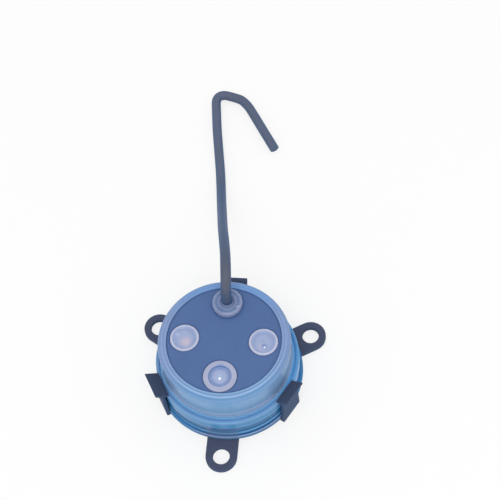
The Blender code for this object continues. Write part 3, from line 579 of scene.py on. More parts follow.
wall_patch, given, result = new_group(
    "patch on a round wall",
    {
        "Heading": "Float", "Height": "Float", "Middle Heading": "Float",
        "Middle Height": "Float", "Half Turn": "Float", "Half Height": "Float", "Blur": "Float",
    },
    {"Mask": "Float"},
)
sides = []
patch_end = reckon(wall_patch, "ADD", 1.0, given.outputs["Blur"])
patch_full = reckon(wall_patch, "SUBTRACT", 1.0, given.outputs["Blur"])
for measure, middle, half in (
    ("Heading", "Middle Heading", "Half Turn"), ("Height", "Middle Height", "Half Height"),
):
    apart = reckon(wall_patch, "SUBTRACT", given.outputs[measure], given.outputs[middle])
    apart = reckon(wall_patch, "ABSOLUTE", apart)
    share = reckon(wall_patch, "DIVIDE", apart, given.outputs[half])
    sides.append(share_between(wall_patch, share, patch_end, patch_full))
wall_patch.links.new(product_of(wall_patch, *sides), result.inputs["Mask"])


def tinted(tree, colour, share, tint):
    """A colour multiplied by a tint, as far as a share from 0 to 1."""
    return place_node(
        tree, "VectorMath", {0: colour, 1: blended(tree, share, (1.0, 1.0, 1.0), tint)},
        operation="MULTIPLY",
    ).outputs[0]


def profile_distance(tree, place, outer, top):
    """How far a point lies down the wall, or inwards on the top as a negative value."""
    down = reckon(tree, "SUBTRACT", top, place.outputs["Height"])
    inward = reckon(tree, "SUBTRACT", outer, place.outputs["Radius"])
    return reckon(tree, "SUBTRACT", down, inward)


ALL_ROUND = 400.0


def patch(tree, place, heading, half_turn, height, half_height, blur, strength):
    """A soft shape on a wall, such as a streak of painted shade.

    The heading and half turn are in degrees, and ALL_ROUND makes a whole ring of it.
    """
    mask = place_node(tree, "Group", {
        "Heading": place.outputs["Heading"], "Height": place.outputs["Height"],
        "Middle Heading": math.radians(heading), "Middle Height": height,
        "Half Turn": math.radians(half_turn), "Half Height": half_height, "Blur": blur,
    }, node_tree=wall_patch)
    return product_of(tree, mask.outputs["Mask"], strength)


# Colours down the profile, with painted highlights on the ledge and the rim's top edge, and
# painted shade in the steps between.
LOWER_RINGS_AND_LIGHT = [
    (-3.9 * MM, (0.185, 0.440, 0.750)),
    (-2.9 * MM, (0.165, 0.410, 0.720)),
    (-2.5 * MM, (0.260, 0.520, 0.830)),
    (-2.1 * MM, (0.185, 0.430, 0.740)),
    (-1.75 * MM, (0.200, 0.450, 0.780)),
    (-1.4 * MM, (0.140, 0.300, 0.560)),
    (-1.1 * MM, (0.150, 0.305, 0.550)),
    (-0.6 * MM, (0.190, 0.365, 0.620)),
    (-0.1 * MM, (0.125, 0.290, 0.525)),
    (0.4 * MM, (0.095, 0.265, 0.500)),
    (1.0 * MM, (0.075, 0.265, 0.510)),
    (1.65 * MM, (0.055, 0.230, 0.470)),
    (2.2 * MM, (0.130, 0.325, 0.610)),
    (2.8 * MM, (0.040, 0.175, 0.380)),
    (3.6 * MM, (0.015, 0.120, 0.300)),
    (4.2 * MM, (0.050, 0.185, 0.390)),
    (4.9 * MM, (0.005, 0.115, 0.280)),
    (5.5 * MM, (0.020, 0.160, 0.350)),
    (6.15 * MM, (0.190, 0.390, 0.640)),
    (6.75 * MM, (0.105, 0.260, 0.540)),
    (7.4 * MM, (0.002, 0.105, 0.280)),
    (7.7 * MM, (0.010, 0.135, 0.250)),
    (7.84 * MM, (0.360, 0.410, 0.640)),
    (8.02 * MM, (0.400, 0.440, 0.670)),
    (8.15 * MM, (0.090, 0.180, 0.370)),
    (8.4 * MM, (0.025, 0.155, 0.310)),
    (HOUSING_HEIGHT, (0.045, 0.200, 0.370)),
]
LUG_SHADE = (0.135, 0.185, 0.320)
RIGHT_SIDE_LIGHT_TINT = (0.42, 1.02, 1.22)
RIM_SHADE_BLUE = (0.060, 0.230, 0.470)
RIM_SHADE_STRENGTH = 0.85
lower_plastic, tree, shader = new_material(
    "lower housing plastic", IOR=1.35, Transmission_Weight=0.05, Specular_IOR_Level=0.18
)
place = place_node(tree, "Group", node_tree=turned_place)
rings = ramp(tree, profile_distance(tree, place, HOUSING_FOOT_RADIUS, LEDGE), LOWER_RINGS_AND_LIGHT)
# Painted light: the right side of the wall is tinted brighter and bluer.
lit_right_side = patch(
    tree, place, heading=14.0, half_turn=40.0,
    height=HOUSING_UNDERSIDE, half_height=9.0 * MM, blur=0.25, strength=1.0,
)
rings = tinted(tree, rings, lit_right_side, RIGHT_SIDE_LIGHT_TINT)
# Painted shade: a darker blue line round the rim's top, left off at the front.
rim_shade_line = patch(
    tree, place, heading=0.0, half_turn=ALL_ROUND,
    height=rim_top, half_height=0.25 * MM, blur=0.3, strength=1.0,
)
pale_front = patch(
    tree, place, heading=-75.0, half_turn=38.0,
    height=rim_top, half_height=5.0 * MM, blur=0.3, strength=-RIM_SHADE_STRENGTH,
)
rim_shade_share = product_of(tree, rim_shade_line, sum_of(tree, RIM_SHADE_STRENGTH, pale_front))
rings = blended(tree, rim_shade_share, rings, RIM_SHADE_BLUE)
shade = patch(
    tree, place, heading=-90.0, half_turn=13.0,
    height=HOUSING_UNDERSIDE, half_height=6.0 * MM, blur=0.20, strength=0.42,
)
lay_surface(
    tree, shader, blended(tree, shade, rings, LUG_SHADE), 0.24,
    drift=0.07, drift_scale=130.0, grain=0.02, grain_scale=2400.0, relief=0.15,
)
settle(lower_housing, lower_plastic, "lower_housing")


# The seal.
# A thin ring of pale rubber, squeezed between the two housings so that only its edge shows.
SEAL_BLUE = (0.190, 0.320, 0.530)
seal_rubber, tree, shader = new_material("seal rubber", Specular_IOR_Level=0.3)
lay_surface(
    tree, shader, SEAL_BLUE, 0.60,
    drift=0.12, drift_scale=240.0, grain=0.10, grain_scale=3600.0, relief=0.5,
)
dress_node("seal_ring", seal_rubber)


# The upper shell.
# A thick tube of the same milky blue plastic, with a round shoulder and a fine turned line
# on its top. Two posts inside it take the screws of the lid.
SHELL_SHOULDER = 1.5 * MM
SHELL_RIM_WIDTH = 2.35 * MM
SHELL_SPIGOT_LENGTH = 4.5 * MM
SHELL_SPIGOT_INSET = 1.8 * MM
SHELL_SPIGOT_WALL = 1.6 * MM
SHELL_EDGE_ROUND = 0.15 * MM
TOP_LINE_WIDTH = 0.2 * MM
TOP_LINE_DEPTH = 0.06 * MM
LID_SEAT_DEPTH = 4.35 * MM
SCREW_POST_RADIUS = 2.4 * MM
SCREW_POST_HEIGHT = 4.8 * MM
SCREW_POST_WEB = 2.0 * MM
SCREW_HOLE_RADIUS = 1.3 * MM
SCREW_HOLE_DEPTH = 3.2 * MM
LID_GAP = 0.05 * MM

shell_low, shell_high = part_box("upper_shell")
SHELL_RADIUS = shell_high.x
SHELL_TOP = shell_high.z
SHELL_UNDERSIDE = shell_low.z + SHELL_SPIGOT_LENGTH
cap_low, cap_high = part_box("right_cap")
FITTING_CIRCLE = cap_high.x - (cap_high.y - cap_low.y) / 2
LID_RADIUS = SHELL_RADIUS - SHELL_RIM_WIDTH - LID_GAP
lid_seat = SHELL_TOP - LID_SEAT_DEPTH
spigot = SHELL_RADIUS - SHELL_SPIGOT_INSET
bore = spigot - SHELL_SPIGOT_WALL
shoulder = SHELL_RADIUS - SHELL_SHOULDER
rim = LID_RADIUS + LID_GAP
profile = [
    (bore, shell_low.z),
    (spigot - RIM_ROUND, shell_low.z),
    (spigot, shell_low.z + RIM_ROUND),
    (spigot, SHELL_UNDERSIDE),
]
profile += round_corner(
    (SHELL_RADIUS - SHELL_EDGE_ROUND, SHELL_UNDERSIDE + SHELL_EDGE_ROUND),
    SHELL_EDGE_ROUND, -90, 0, 3,
)
profile += round_corner((shoulder, SHELL_TOP - SHELL_SHOULDER), SHELL_SHOULDER, 0, 90, 16)
profile += [
    (shoulder - TOP_LINE_WIDTH * 0.25, SHELL_TOP - TOP_LINE_DEPTH),
    (shoulder - TOP_LINE_WIDTH * 0.75, SHELL_TOP - TOP_LINE_DEPTH),
    (shoulder - TOP_LINE_WIDTH, SHELL_TOP),
    (rim + SHELL_EDGE_ROUND, SHELL_TOP),
    (rim, SHELL_TOP - SHELL_EDGE_ROUND),
    (rim, lid_seat),
    (bore, lid_seat),
]
upper_shell = turn("upper_tube", profile)
tools = []
for heading in (0.0, math.pi):
    centre = in_heading(heading, FITTING_CIRCLE)
    bottom = lid_seat - SCREW_POST_HEIGHT
    tools.append((rod("post", centre, SCREW_POST_RADIUS, bottom, lid_seat), "UNION"))
    web = bore - FITTING_CIRCLE + SHELL_SPIGOT_WALL / 2
    tools.append((
        block(
            "web", web, SCREW_POST_WEB, bottom, lid_seat,
            in_heading(heading, FITTING_CIRCLE + web / 2), heading,
        ),
        "UNION",
    ))
    hole_bottom = lid_seat - SCREW_HOLE_DEPTH
    tools.append((
        rod("hole", centre, SCREW_HOLE_RADIUS, hole_bottom, lid_seat + MM), "DIFFERENCE"
    ))
shape(upper_shell, tools)

# Colours down the profile, with a painted highlight on the round shoulder.
UPPER_RINGS_AND_LIGHT = [
    (-SHELL_RIM_WIDTH, (0.225, 0.380, 0.625)),
    (-1.8 * MM, (0.225, 0.380, 0.625)),
    (-1.7 * MM, (0.165, 0.290, 0.480)),
    (-1.5 * MM, (0.165, 0.290, 0.480)),
    (-1.38 * MM, (0.275, 0.430, 0.690)),
    (-0.95 * MM, (0.265, 0.420, 0.670)),
    (-0.6 * MM, (0.120, 0.260, 0.465)),
    (-0.2 * MM, (0.130, 0.270, 0.490)),
    (0.3 * MM, (0.175, 0.330, 0.565)),
    (1.2 * MM, (0.165, 0.320, 0.545)),
    (2.6 * MM, (0.175, 0.350, 0.600)),
    (4.4 * MM, (0.175, 0.340, 0.570)),
    (5.6 * MM, (0.165, 0.325, 0.535)),
    (6.4 * MM, (0.155, 0.305, 0.505)),
    (7.2 * MM, (0.165, 0.310, 0.515)),
    (8.2 * MM, (0.260, 0.375, 0.590)),
    (8.7 * MM, (0.275, 0.385, 0.590)),
    (8.95 * MM, (0.310, 0.390, 0.580)),
    (9.1 * MM, (0.270, 0.350, 0.540)),
    (9.25 * MM, (0.130, 0.290, 0.500)),
]
STREAK_SHADE = (0.130, 0.200, 0.380)
GREY_LAVENDER = (0.210, 0.280, 0.480)
LAVENDER_TINT = (0.97, 0.85, 0.87)
RIM_LAVENDER = (0.220, 0.310, 0.540)
RIM_BACK = (0.165, 0.325, 0.620)
CREAM_LINE = (0.500, 0.520, 0.660)
CREAM_LINE_RISE = 0.4 * MM
CREAM_LINE_HALF = 0.38 * MM
# Each soft shape has a heading and a half turn, a height and a half height, a blur and a
# strength: two darker grey patches at the sides, and four thin streaks of painted shade.
DARK_SIDE_PATCHES = [
    (-36.0, 17.0, 16.6 * MM, 3.8 * MM, 0.5, 0.25),
    (-143.0, 18.0, 16.6 * MM, 3.6 * MM, 0.5, 0.50),
]
SHADE_STREAKS = [
    (-87.3, 0.9, 16.5 * MM, 2.6 * MM, 0.9, 0.16),
    (-79.6, 1.0, 16.5 * MM, 2.6 * MM, 0.9, 0.13),
    (-38.0, 1.5, 17.2 * MM, 2.6 * MM, 0.4, 0.15),
    (-150.0, 2.0, 17.0 * MM, 3.0 * MM, 0.4, 0.15),
]
upper_plastic, tree, shader = new_material(
    "upper shell plastic", IOR=1.35, Specular_IOR_Level=0.22
)
place = place_node(tree, "Group", node_tree=turned_place)
rings = ramp(tree, profile_distance(tree, place, SHELL_RADIUS, SHELL_TOP), UPPER_RINGS_AND_LIGHT)
front = patch(
    tree, place, heading=-80.0, half_turn=60.0,
    height=SHELL_UNDERSIDE, half_height=20.0 * MM, blur=0.5, strength=-1.0,
)
away_from_front = sum_of(tree, 1.0, front)
rings = tinted(tree, rings, away_from_front, LAVENDER_TINT)
top_ring = patch(
    tree, place, heading=0.0, half_turn=ALL_ROUND,
    height=SHELL_TOP, half_height=1.2 * MM, blur=0.3, strength=0.75,
)
rings = blended(tree, product_of(tree, top_ring, away_from_front), rings, RIM_LAVENDER)
back_ring = patch(
    tree, place, heading=90.0, half_turn=50.0,
    height=SHELL_TOP, half_height=1.6 * MM, blur=0.4, strength=0.8,
)
rings = blended(tree, back_ring, rings, RIM_BACK)
left_line = patch(
    tree, place, heading=-143.0, half_turn=15.0,
    height=SHELL_UNDERSIDE + CREAM_LINE_RISE, half_height=CREAM_LINE_HALF, blur=0.6, strength=1.0,
)
right_line = patch(
    tree, place, heading=-8.0, half_turn=42.0,
    height=SHELL_UNDERSIDE + CREAM_LINE_RISE, half_height=CREAM_LINE_HALF, blur=0.4, strength=0.6,
)
rings = blended(tree, reckon(tree, "MAXIMUM", left_line, right_line), rings, CREAM_LINE)
# Darker grey patches at both sides of the wall.
dark_sides = sum_of(tree, *[patch(tree, place, *measures) for measures in DARK_SIDE_PATCHES])
rings = blended(tree, dark_sides, rings, GREY_LAVENDER)
# Painted shade: four thin darker streaks on the wall.
shade = sum_of(tree, *[patch(tree, place, *measures) for measures in SHADE_STREAKS])
lay_surface(
    tree, shader, blended(tree, shade, rings, STREAK_SHADE), 0.30,
    drift=0.07, drift_scale=110.0, grain=0.02, grain_scale=2400.0, relief=0.15,
)
settle(upper_shell, upper_plastic, "upper_shell")


# The lid.
# A flat disc of darker blue plastic with a satin face, sunk a little into the shell. Its
# caps sit in round seats, whose edges are broken, and the cord's boss goes through it.
SEAT_DEPTH = 1.0 * MM
SEAT_GAP = 0.04 * MM
SEAT_EDGE = 0.15 * MM
SEAT_SHADE_WIDTH = 0.8 * MM
POCKET_RADIUS = 2.9 * MM
POCKET_DEPTH = 2.9 * MM
LID_EDGE = 0.12 * MM
LID_SHADE_WIDTH = 0.7 * MM
LID_SHADE_STRENGTH = 0.85
LID_HOLES = {
    "window_cap": 1.7 * MM,
    "right_cap": 1.3 * MM,
    "cord_boss": 2.8 * MM,
    "left_cap": 1.3 * MM,
}
LID_BLUE = (0.066, 0.130, 0.305)
LID_SHADE_BLUE = (0.046, 0.104, 0.270)

lid_low, lid_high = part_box("top_disc")
LID_TOP = lid_high.z
CAP_SEAT = LID_TOP - SEAT_DEPTH
POCKET_FLOOR = LID_TOP - POCKET_DEPTH
profile = [
    (0.0, lid_low.z),
    (LID_RADIUS, lid_low.z),
    (LID_RADIUS, LID_TOP - LID_EDGE),
    (LID_RADIUS - LID_EDGE, LID_TOP),
    (0.0, LID_TOP),
]
lid = turn("lid", profile)
above = LID_TOP + MM
fittings = {}
tools = []
for node, hole in LID_HOLES.items():
    low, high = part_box(node)
    centre = ((low.x + high.x) / 2, (low.y + high.y) / 2)
    radius = (high.x - low.x) / 2
    fittings[node] = (centre, radius)
    tools.append((rod(f"{node} hole", centre, hole, lid_low.z - MM, above, 64), "DIFFERENCE"))
    if node == "cord_boss":
        continue
    tools.append((
        rod(f"{node} pocket", centre, POCKET_RADIUS, POCKET_FLOOR, above, 64), "DIFFERENCE"
    ))
    seat = radius + SEAT_GAP
    seat_profile = [
        (0.0, CAP_SEAT),
        (seat, CAP_SEAT),
        (seat, LID_TOP - SEAT_EDGE),
        (seat + 2 * SEAT_EDGE, LID_TOP + SEAT_EDGE),
        (0.0, LID_TOP + SEAT_EDGE),
    ]
    tools.append((turn(f"{node} seat", seat_profile, 128, centre), "DIFFERENCE"))
shape(lid, tools)

lid_plastic, tree, shader = new_material("lid plastic", Specular_IOR_Level=0.35)
place = place_node(tree, "Group", node_tree=turned_place)
# Painted shade: the face darkens towards its edge and round each fitting.
dark = share_between(tree, place.outputs["Radius"], LID_RADIUS - LID_SHADE_WIDTH, LID_RADIUS)
for centre, radius in fittings.values():
    place = place_node(tree, "Group", {"Centre": (*centre, 0.0)}, node_tree=turned_place)
    ring = share_between(tree, place.outputs["Radius"], radius + SEAT_SHADE_WIDTH, radius)
    dark = reckon(tree, "MAXIMUM", dark, ring)
dark = product_of(tree, dark, LID_SHADE_STRENGTH)
lay_surface(
    tree, shader, blended(tree, dark, LID_BLUE, LID_SHADE_BLUE), 0.42,
    drift=0.08, drift_scale=210.0, grain=0.06, grain_scale=2600.0, relief=0.3,
)
settle(lid, lid_plastic, "top_disc")


# The two screw caps.
# Frosted, slightly domed plugs with a raised rim, pressed into the lid over its screws.
# A warm painted highlight lies in each, the left one also has a cool painted glint, and the
# right one has a small bubble in it.
CAP_RIM_WIDTH = 0.7 * MM
CAP_ROUND = 0.3 * MM
CAP_DISH = 0.22 * MM
CAP_STEM_RADIUS = 2.6 * MM
CAP_STEM_LENGTH = 0.7 * MM
CAP_INNER_RING = 2.75 * MM
CAP_DOME = [(1.0, 1.0), (0.95, 0.7), (0.6, 0.5), (0.3, 0.35), (0.0, 0.3)]
BUBBLE_RADIUS = 0.5 * MM
BUBBLE_FLATNESS = 0.55
BUBBLE_SHINE_SIZE = 0.42 * MM
FROSTED_RIM = (0.530, 0.560, 0.740)
FROSTED_INSIDE = (0.355, 0.430, 0.655)
FROSTED_SHADE = (0.300, 0.380, 0.620)
WARM_HIGHLIGHT = (0.620, 0.520, 0.600)
COOL_GLINT = (0.50, 0.60, 0.85)
CAP_TONES = [
    (0.0, FROSTED_INSIDE),
    (CAP_INNER_RING * 0.55, FROSTED_INSIDE),
    (CAP_INNER_RING * 0.93, FROSTED_SHADE),
    (CAP_INNER_RING * 1.04, FROSTED_INSIDE),
    (3.05 * MM, FROSTED_SHADE),
    (3.3 * MM, FROSTED_RIM),
    (3.8 * MM, FROSTED_RIM),
]
BUBBLE_BLUE = (0.22, 0.33, 0.60)
BUBBLE_SHADE = (0.12, 0.22, 0.47)
BUBBLE_SHINE = (0.85, 0.90, 0.98)

soft_spot, given, result = new_group(
    "soft spot", {"Middle": "Vector", "Size": "Float"}, {"Mask": "Float"}
)
where = place_node(soft_spot, "TexCoord").outputs["Object"]
distance = place_node(
    soft_spot, "VectorMath", {0: where, 1: given.outputs["Middle"]}, operation="DISTANCE"
).outputs["Value"]
soft_spot.links.new(
    share_between(soft_spot, distance, given.outputs["Size"], 0.0), result.inputs["Mask"]
)


def spot(tree, middle, size, strength):
    """How far a point lies inside a soft round spot."""
    mask = place_node(tree, "Group", {"Middle": middle, "Size": size}, node_tree=soft_spot)
    return product_of(tree, mask.outputs["Mask"], strength)


def near_top(centre, top, x, y, z=0.0):
    """A place in a fitting, in millimetres from the middle of its top."""
    return Vector((centre[0] + x * MM, centre[1] + y * MM, top + z * MM))


def turn_cap(name, node):
    """A plug with a stem, a rounded rim and a shallow dish with a low dome in it."""
    low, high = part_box(node)
    centre, radius = fittings[node]
    underside = low.z + CAP_STEM_LENGTH
    inside = radius - CAP_RIM_WIDTH
    profile = [
        (0.0, low.z),
        (CAP_STEM_RADIUS, low.z),
        (CAP_STEM_RADIUS, underside),
        (radius, underside),
    ]
    profile += round_corner((radius - CAP_ROUND, high.z - CAP_ROUND), CAP_ROUND, 0, 90, 6)
    profile += [
        (inside, high.z),
        (inside - CAP_DISH / 2, high.z - CAP_DISH / 2),
    ]
    profile += [(CAP_INNER_RING * out, high.z - CAP_DISH * down) for out, down in CAP_DOME]
    return turn(name, profile, 128, centre)


def cap_plastic(name, centre, stops, spots, transmission):
    """Frosted plastic with rings of tone round a centre, and soft coloured spots in it.

    Each spot has a middle, a size, a strength and a tint.
    """
    made, tree, shader = new_material(
        name, IOR=1.4, Transmission_Weight=transmission, Specular_IOR_Level=0.45
    )
    place = place_node(tree, "Group", {"Centre": (*centre, 0.0)}, node_tree=turned_place)
    colour = ramp(tree, place.outputs["Radius"], stops)
    for middle, size, strength, tint in spots:
        colour = blended(tree, spot(tree, middle, size, strength), colour, tint)
    lay_surface(
        tree, shader, colour, 0.32,
        drift=0.10, drift_scale=420.0, grain=0.02, grain_scale=3000.0, relief=0.2,
    )
    return made


cap_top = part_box("left_cap")[1].z
centre = fittings["left_cap"][0]
left_cap = turn_cap("left_plug", "left_cap")
left_frosted = cap_plastic(
    "left cap plastic", centre, CAP_TONES,
    [
        (near_top(centre, cap_top, 0.5, -1.2), 2.2 * MM, 0.8, WARM_HIGHLIGHT),
        (near_top(centre, cap_top, -2.0, 0.9), 1.0 * MM, 0.6, COOL_GLINT),
    ],
    0.12,
)
settle(left_cap, left_frosted, "left_cap")

centre = fittings["right_cap"][0]
right_cap = turn_cap("right_plug", "right_cap")
bubble_place = near_top(centre, cap_top - CAP_DISH / 2, 0.37, -1.55)
right_frosted = cap_plastic(
    "right cap plastic", centre, CAP_TONES,
    [
        (near_top(centre, cap_top, -0.4, -1.6), 1.9 * MM, 0.35, WARM_HIGHLIGHT),
        (bubble_place + Vector((-0.1, 0.35, 0.0)) * MM, 1.05 * MM, 1.0, BUBBLE_SHADE),
    ],
    0.12,
)
settle(right_cap, right_frosted, "right_cap")

mesh = bmesh.new()
bmesh.ops.create_uvsphere(mesh, u_segments=32, v_segments=16, radius=BUBBLE_RADIUS)
bmesh.ops.scale(mesh, vec=(1.0, 1.0, BUBBLE_FLATNESS), verts=mesh.verts[:])
bmesh.ops.translate(mesh, vec=bubble_place, verts=mesh.verts[:])
bubble = new_piece("right_plug_bubble", mesh)
bubble.data.shade_smooth()
bubble_plastic, tree, shader = new_material("bubble", IOR=1.4, Specular_IOR_Level=0.6)
shine = spot(tree, bubble_place + Vector((0.08, -0.08, 0.25)) * MM, BUBBLE_SHINE_SIZE, 1.0)
lay_surface(
    tree, shader, blended(tree, shine, BUBBLE_BLUE, BUBBLE_SHINE), 0.15,
    drift=0.05, drift_scale=900.0, grain=0.0, grain_scale=3000.0, relief=0.05,
)
settle(bubble, bubble_plastic)


# The indicator window.
# A wider frosted plug at the front with a well in it. In the well stands a low dome above
# the lamp and its clear rod. The dome's middle has a painted white highlight that also glows,
# and the well's far side is painted darker as shade.
WINDOW_ROUND = 0.3 * MM
WINDOW_WELL_RADIUS = 2.9 * MM
WINDOW_WELL_DEPTH = 0.55 * MM
WINDOW_STEP_RADIUS = 2.45 * MM
WINDOW_STEP_HEIGHT = 0.12 * MM
WINDOW_DOME_RADIUS = 2.1 * MM
WINDOW_DOME_HEIGHT = 0.45 * MM
WINDOW_EDGE = 0.1 * MM
WINDOW_WELL_DRAFT = 0.05 * MM
WINDOW_STEP_DRAFT = 0.08 * MM
GLOW_RADIUS = 0.40 * MM
GLOW_STRENGTH = 0.8
HIGHLIGHT_RADIUS = 0.42 * MM
WHITE = (1.0, 1.0, 1.0)
UNLIT = (0.0, 0.0, 0.0)
WELL_SHADE = (0.16, 0.28, 0.56)
WINDOW_TONES = [
    (0.0, (0.44, 0.52, 0.74)),
    (0.8 * MM, (0.34, 0.43, 0.67)),
    (1.3 * MM, (0.38, 0.45, 0.68)),
    (1.9 * MM, (0.33, 0.40, 0.64)),
    (2.15 * MM, (0.21, 0.31, 0.56)),
    (2.5 * MM, (0.32, 0.40, 0.65)),
    (2.8 * MM, (0.17, 0.28, 0.53)),
    (3.05 * MM, (0.35, 0.41, 0.63)),
    (3.3 * MM, (0.42, 0.44, 0.62)),
    (4.0 * MM, (0.40, 0.43, 0.58)),
    (4.35 * MM, (0.46, 0.49, 0.65)),
]

window_low, window_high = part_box("window_cap")
centre, radius = fittings["window_cap"]
well = window_high.z - WINDOW_WELL_DEPTH
profile = [
    (0.0, window_low.z),
    (CAP_STEM_RADIUS, window_low.z),
    (CAP_STEM_RADIUS, window_low.z + CAP_STEM_LENGTH),
    (radius, window_low.z + CAP_STEM_LENGTH),
]
profile += round_corner(
    (radius - WINDOW_ROUND, window_high.z - WINDOW_ROUND), WINDOW_ROUND, 0, 90, 6
)
profile += [
    (WINDOW_WELL_RADIUS + WINDOW_EDGE, window_high.z),
    (WINDOW_WELL_RADIUS, window_high.z - WINDOW_EDGE),
    (WINDOW_WELL_RADIUS - WINDOW_WELL_DRAFT, well),
    (WINDOW_STEP_RADIUS, well),
    (WINDOW_STEP_RADIUS - WINDOW_STEP_DRAFT, well + WINDOW_STEP_HEIGHT),
    (WINDOW_DOME_RADIUS, well + WINDOW_STEP_HEIGHT),
]
dome_rise = WINDOW_DOME_HEIGHT - WINDOW_STEP_HEIGHT
sphere = (WINDOW_DOME_RADIUS**2 + dome_rise**2) / 2 / dome_rise
profile += round_corner(
    (0.0, well + WINDOW_DOME_HEIGHT - sphere), sphere,
    math.degrees(math.acos(WINDOW_DOME_RADIUS / sphere)), 90, 10,
)[1:-1]
profile.append((0.0, well + WINDOW_DOME_HEIGHT))
window = turn("window_plug", profile, 128, centre)
dome_top = Vector((*centre, well + WINDOW_DOME_HEIGHT))
# Painted highlight: a small white spot in the dome's middle, which also glows.
highlight_place = dome_top + Vector((0.05, -0.7, -0.05)) * MM
window_plastic = cap_plastic(
    "window plastic", centre, WINDOW_TONES,
    [
        (dome_top + Vector((0.0, 2.6, 0.0)) * MM, 1.5 * MM, 0.6, WELL_SHADE),
        (highlight_place, HIGHLIGHT_RADIUS, 1.0, WHITE),
    ],
    0.10,
)
tree = window_plastic.node_tree
shader = tree.nodes["Principled BSDF"]
glow = blended(tree, spot(tree, highlight_place, GLOW_RADIUS, 1.0), UNLIT, WHITE)
tree.links.new(glow, shader.inputs["Emission Color"])
shader.inputs["Emission Strength"].default_value = GLOW_STRENGTH
settle(window, window_plastic, "window_cap")


# The cord's boss.
# A clear, slightly violet collar with a rounded edge, drawn down on the lid by a nut below
# it. The cord goes into its mouth, and the fillet of glue round the cord shows inside it.
BOSS_SHOULDER = 0.6 * MM
BOSS_STEM_RADIUS = 2.5 * MM
BOSS_BORE_RADIUS = 1.25 * MM
BOSS_MOUTH_GAP = 0.3 * MM
BOSS_ENTRY_DEPTH = 1.1 * MM
BOSS_SEAT_GAP = 0.3 * MM
BOSS_LIP_RADIUS = 2.75 * MM
BOSS_LIP_EDGE = 0.1 * MM
BOSS_GROOVE_WIDTH = 0.25 * MM
BOSS_GROOVE_RIM = 0.08 * MM
BOSS_GROOVE_DEPTH = 0.14 * MM
BOSS_MOUTH_FLARE = 0.25 * MM
BOSS_MOUTH_EDGE = 0.06 * MM
BOSS_MOUTH_EDGE_DEPTH = 0.12 * MM
BOSS_GLINT = (0.55, 0.68, 0.92)
BOSS_SHADE = (0.12, 0.20, 0.42)
BOSS_GREY = (0.38, 0.42, 0.62)
BOSS_TONES = [
    (1.25 * MM, (0.120, 0.160, 0.310)),
    (1.75 * MM, (0.200, 0.260, 0.450)),
    (2.0 * MM, (0.280, 0.350, 0.570)),
    (2.6 * MM, (0.240, 0.330, 0.570)),
    (2.85 * MM, (0.160, 0.240, 0.470)),
    (3.1 * MM, (0.240, 0.330, 0.570)),
    (3.6 * MM, (0.320, 0.390, 0.610)),
    (3.95 * MM, (0.380, 0.430, 0.650)),
]

boss_low, boss_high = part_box("cord_boss")
centre, radius = fittings["cord_boss"]
boss_seat = LID_TOP + BOSS_SEAT_GAP
mouth = CORD_DIAMETER / 2 + BOSS_MOUTH_GAP
entry = boss_high.z - BOSS_ENTRY_DEPTH
profile = [
    (BOSS_BORE_RADIUS, boss_low.z),
    (BOSS_STEM_RADIUS, boss_low.z),
    (BOSS_STEM_RADIUS, boss_seat),
    (radius, boss_seat),
]
profile += round_corner(
    (radius - BOSS_SHOULDER, boss_high.z - BOSS_SHOULDER), BOSS_SHOULDER, 0, 78, 8
)
profile += [
    (BOSS_LIP_RADIUS + BOSS_GROOVE_WIDTH, boss_high.z - BOSS_GROOVE_RIM),
    (BOSS_LIP_RADIUS + BOSS_LIP_EDGE, boss_high.z - BOSS_GROOVE_DEPTH),
    (BOSS_LIP_RADIUS - BOSS_LIP_EDGE, boss_high.z),
    (mouth + BOSS_MOUTH_FLARE, boss_high.z),
    (mouth + BOSS_MOUTH_EDGE, boss_high.z - BOSS_MOUTH_EDGE_DEPTH),
    (mouth, entry),
    (BOSS_BORE_RADIUS, entry),
]
boss = turn("cord_collar", profile, 160, centre)
boss_plastic = cap_plastic(
    "boss plastic", centre, BOSS_TONES,
    [
        (near_top(centre, boss_high.z, 2.85, -1.35), 0.55 * MM, 0.9, BOSS_GLINT),
        (near_top(centre, boss_high.z, -1.6, -2.6), 1.5 * MM, 0.35, BOSS_SHADE),
        (near_top(centre, boss_high.z, 0.2, -3.9, -0.6), 1.6 * MM, 0.4, BOSS_GREY),
    ],
    0.30,
)
settle(boss, boss_plastic, "cord_boss")

GLUE_HEIGHT = 0.8 * MM
GLUE_CLIMB = 0.25 * MM
GLUE_GAP = 0.02 * MM
GLUE_EDGE = 0.2 * MM
GLUE_COLLAR = 0.1 * MM
GLUE_TONES = [(1.42 * MM, (0.17, 0.22, 0.39)), (1.65 * MM, (0.25, 0.33, 0.55))]
glue_inner = CORD_DIAMETER / 2 + GLUE_GAP
glue_outer = mouth - GLUE_GAP
profile = [
    (glue_inner, boss_high.z - GLUE_HEIGHT),
    (glue_outer, boss_high.z - GLUE_HEIGHT),
    (glue_outer, boss_high.z - GLUE_EDGE),
    (glue_inner + GLUE_COLLAR, boss_high.z),
    (glue_inner, boss_high.z + GLUE_CLIMB),
]
glue = turn("mouth_glue", profile, 96, centre)
glue_plastic = cap_plastic("glue", centre, GLUE_TONES, [], 0.10)
settle(glue, glue_plastic)


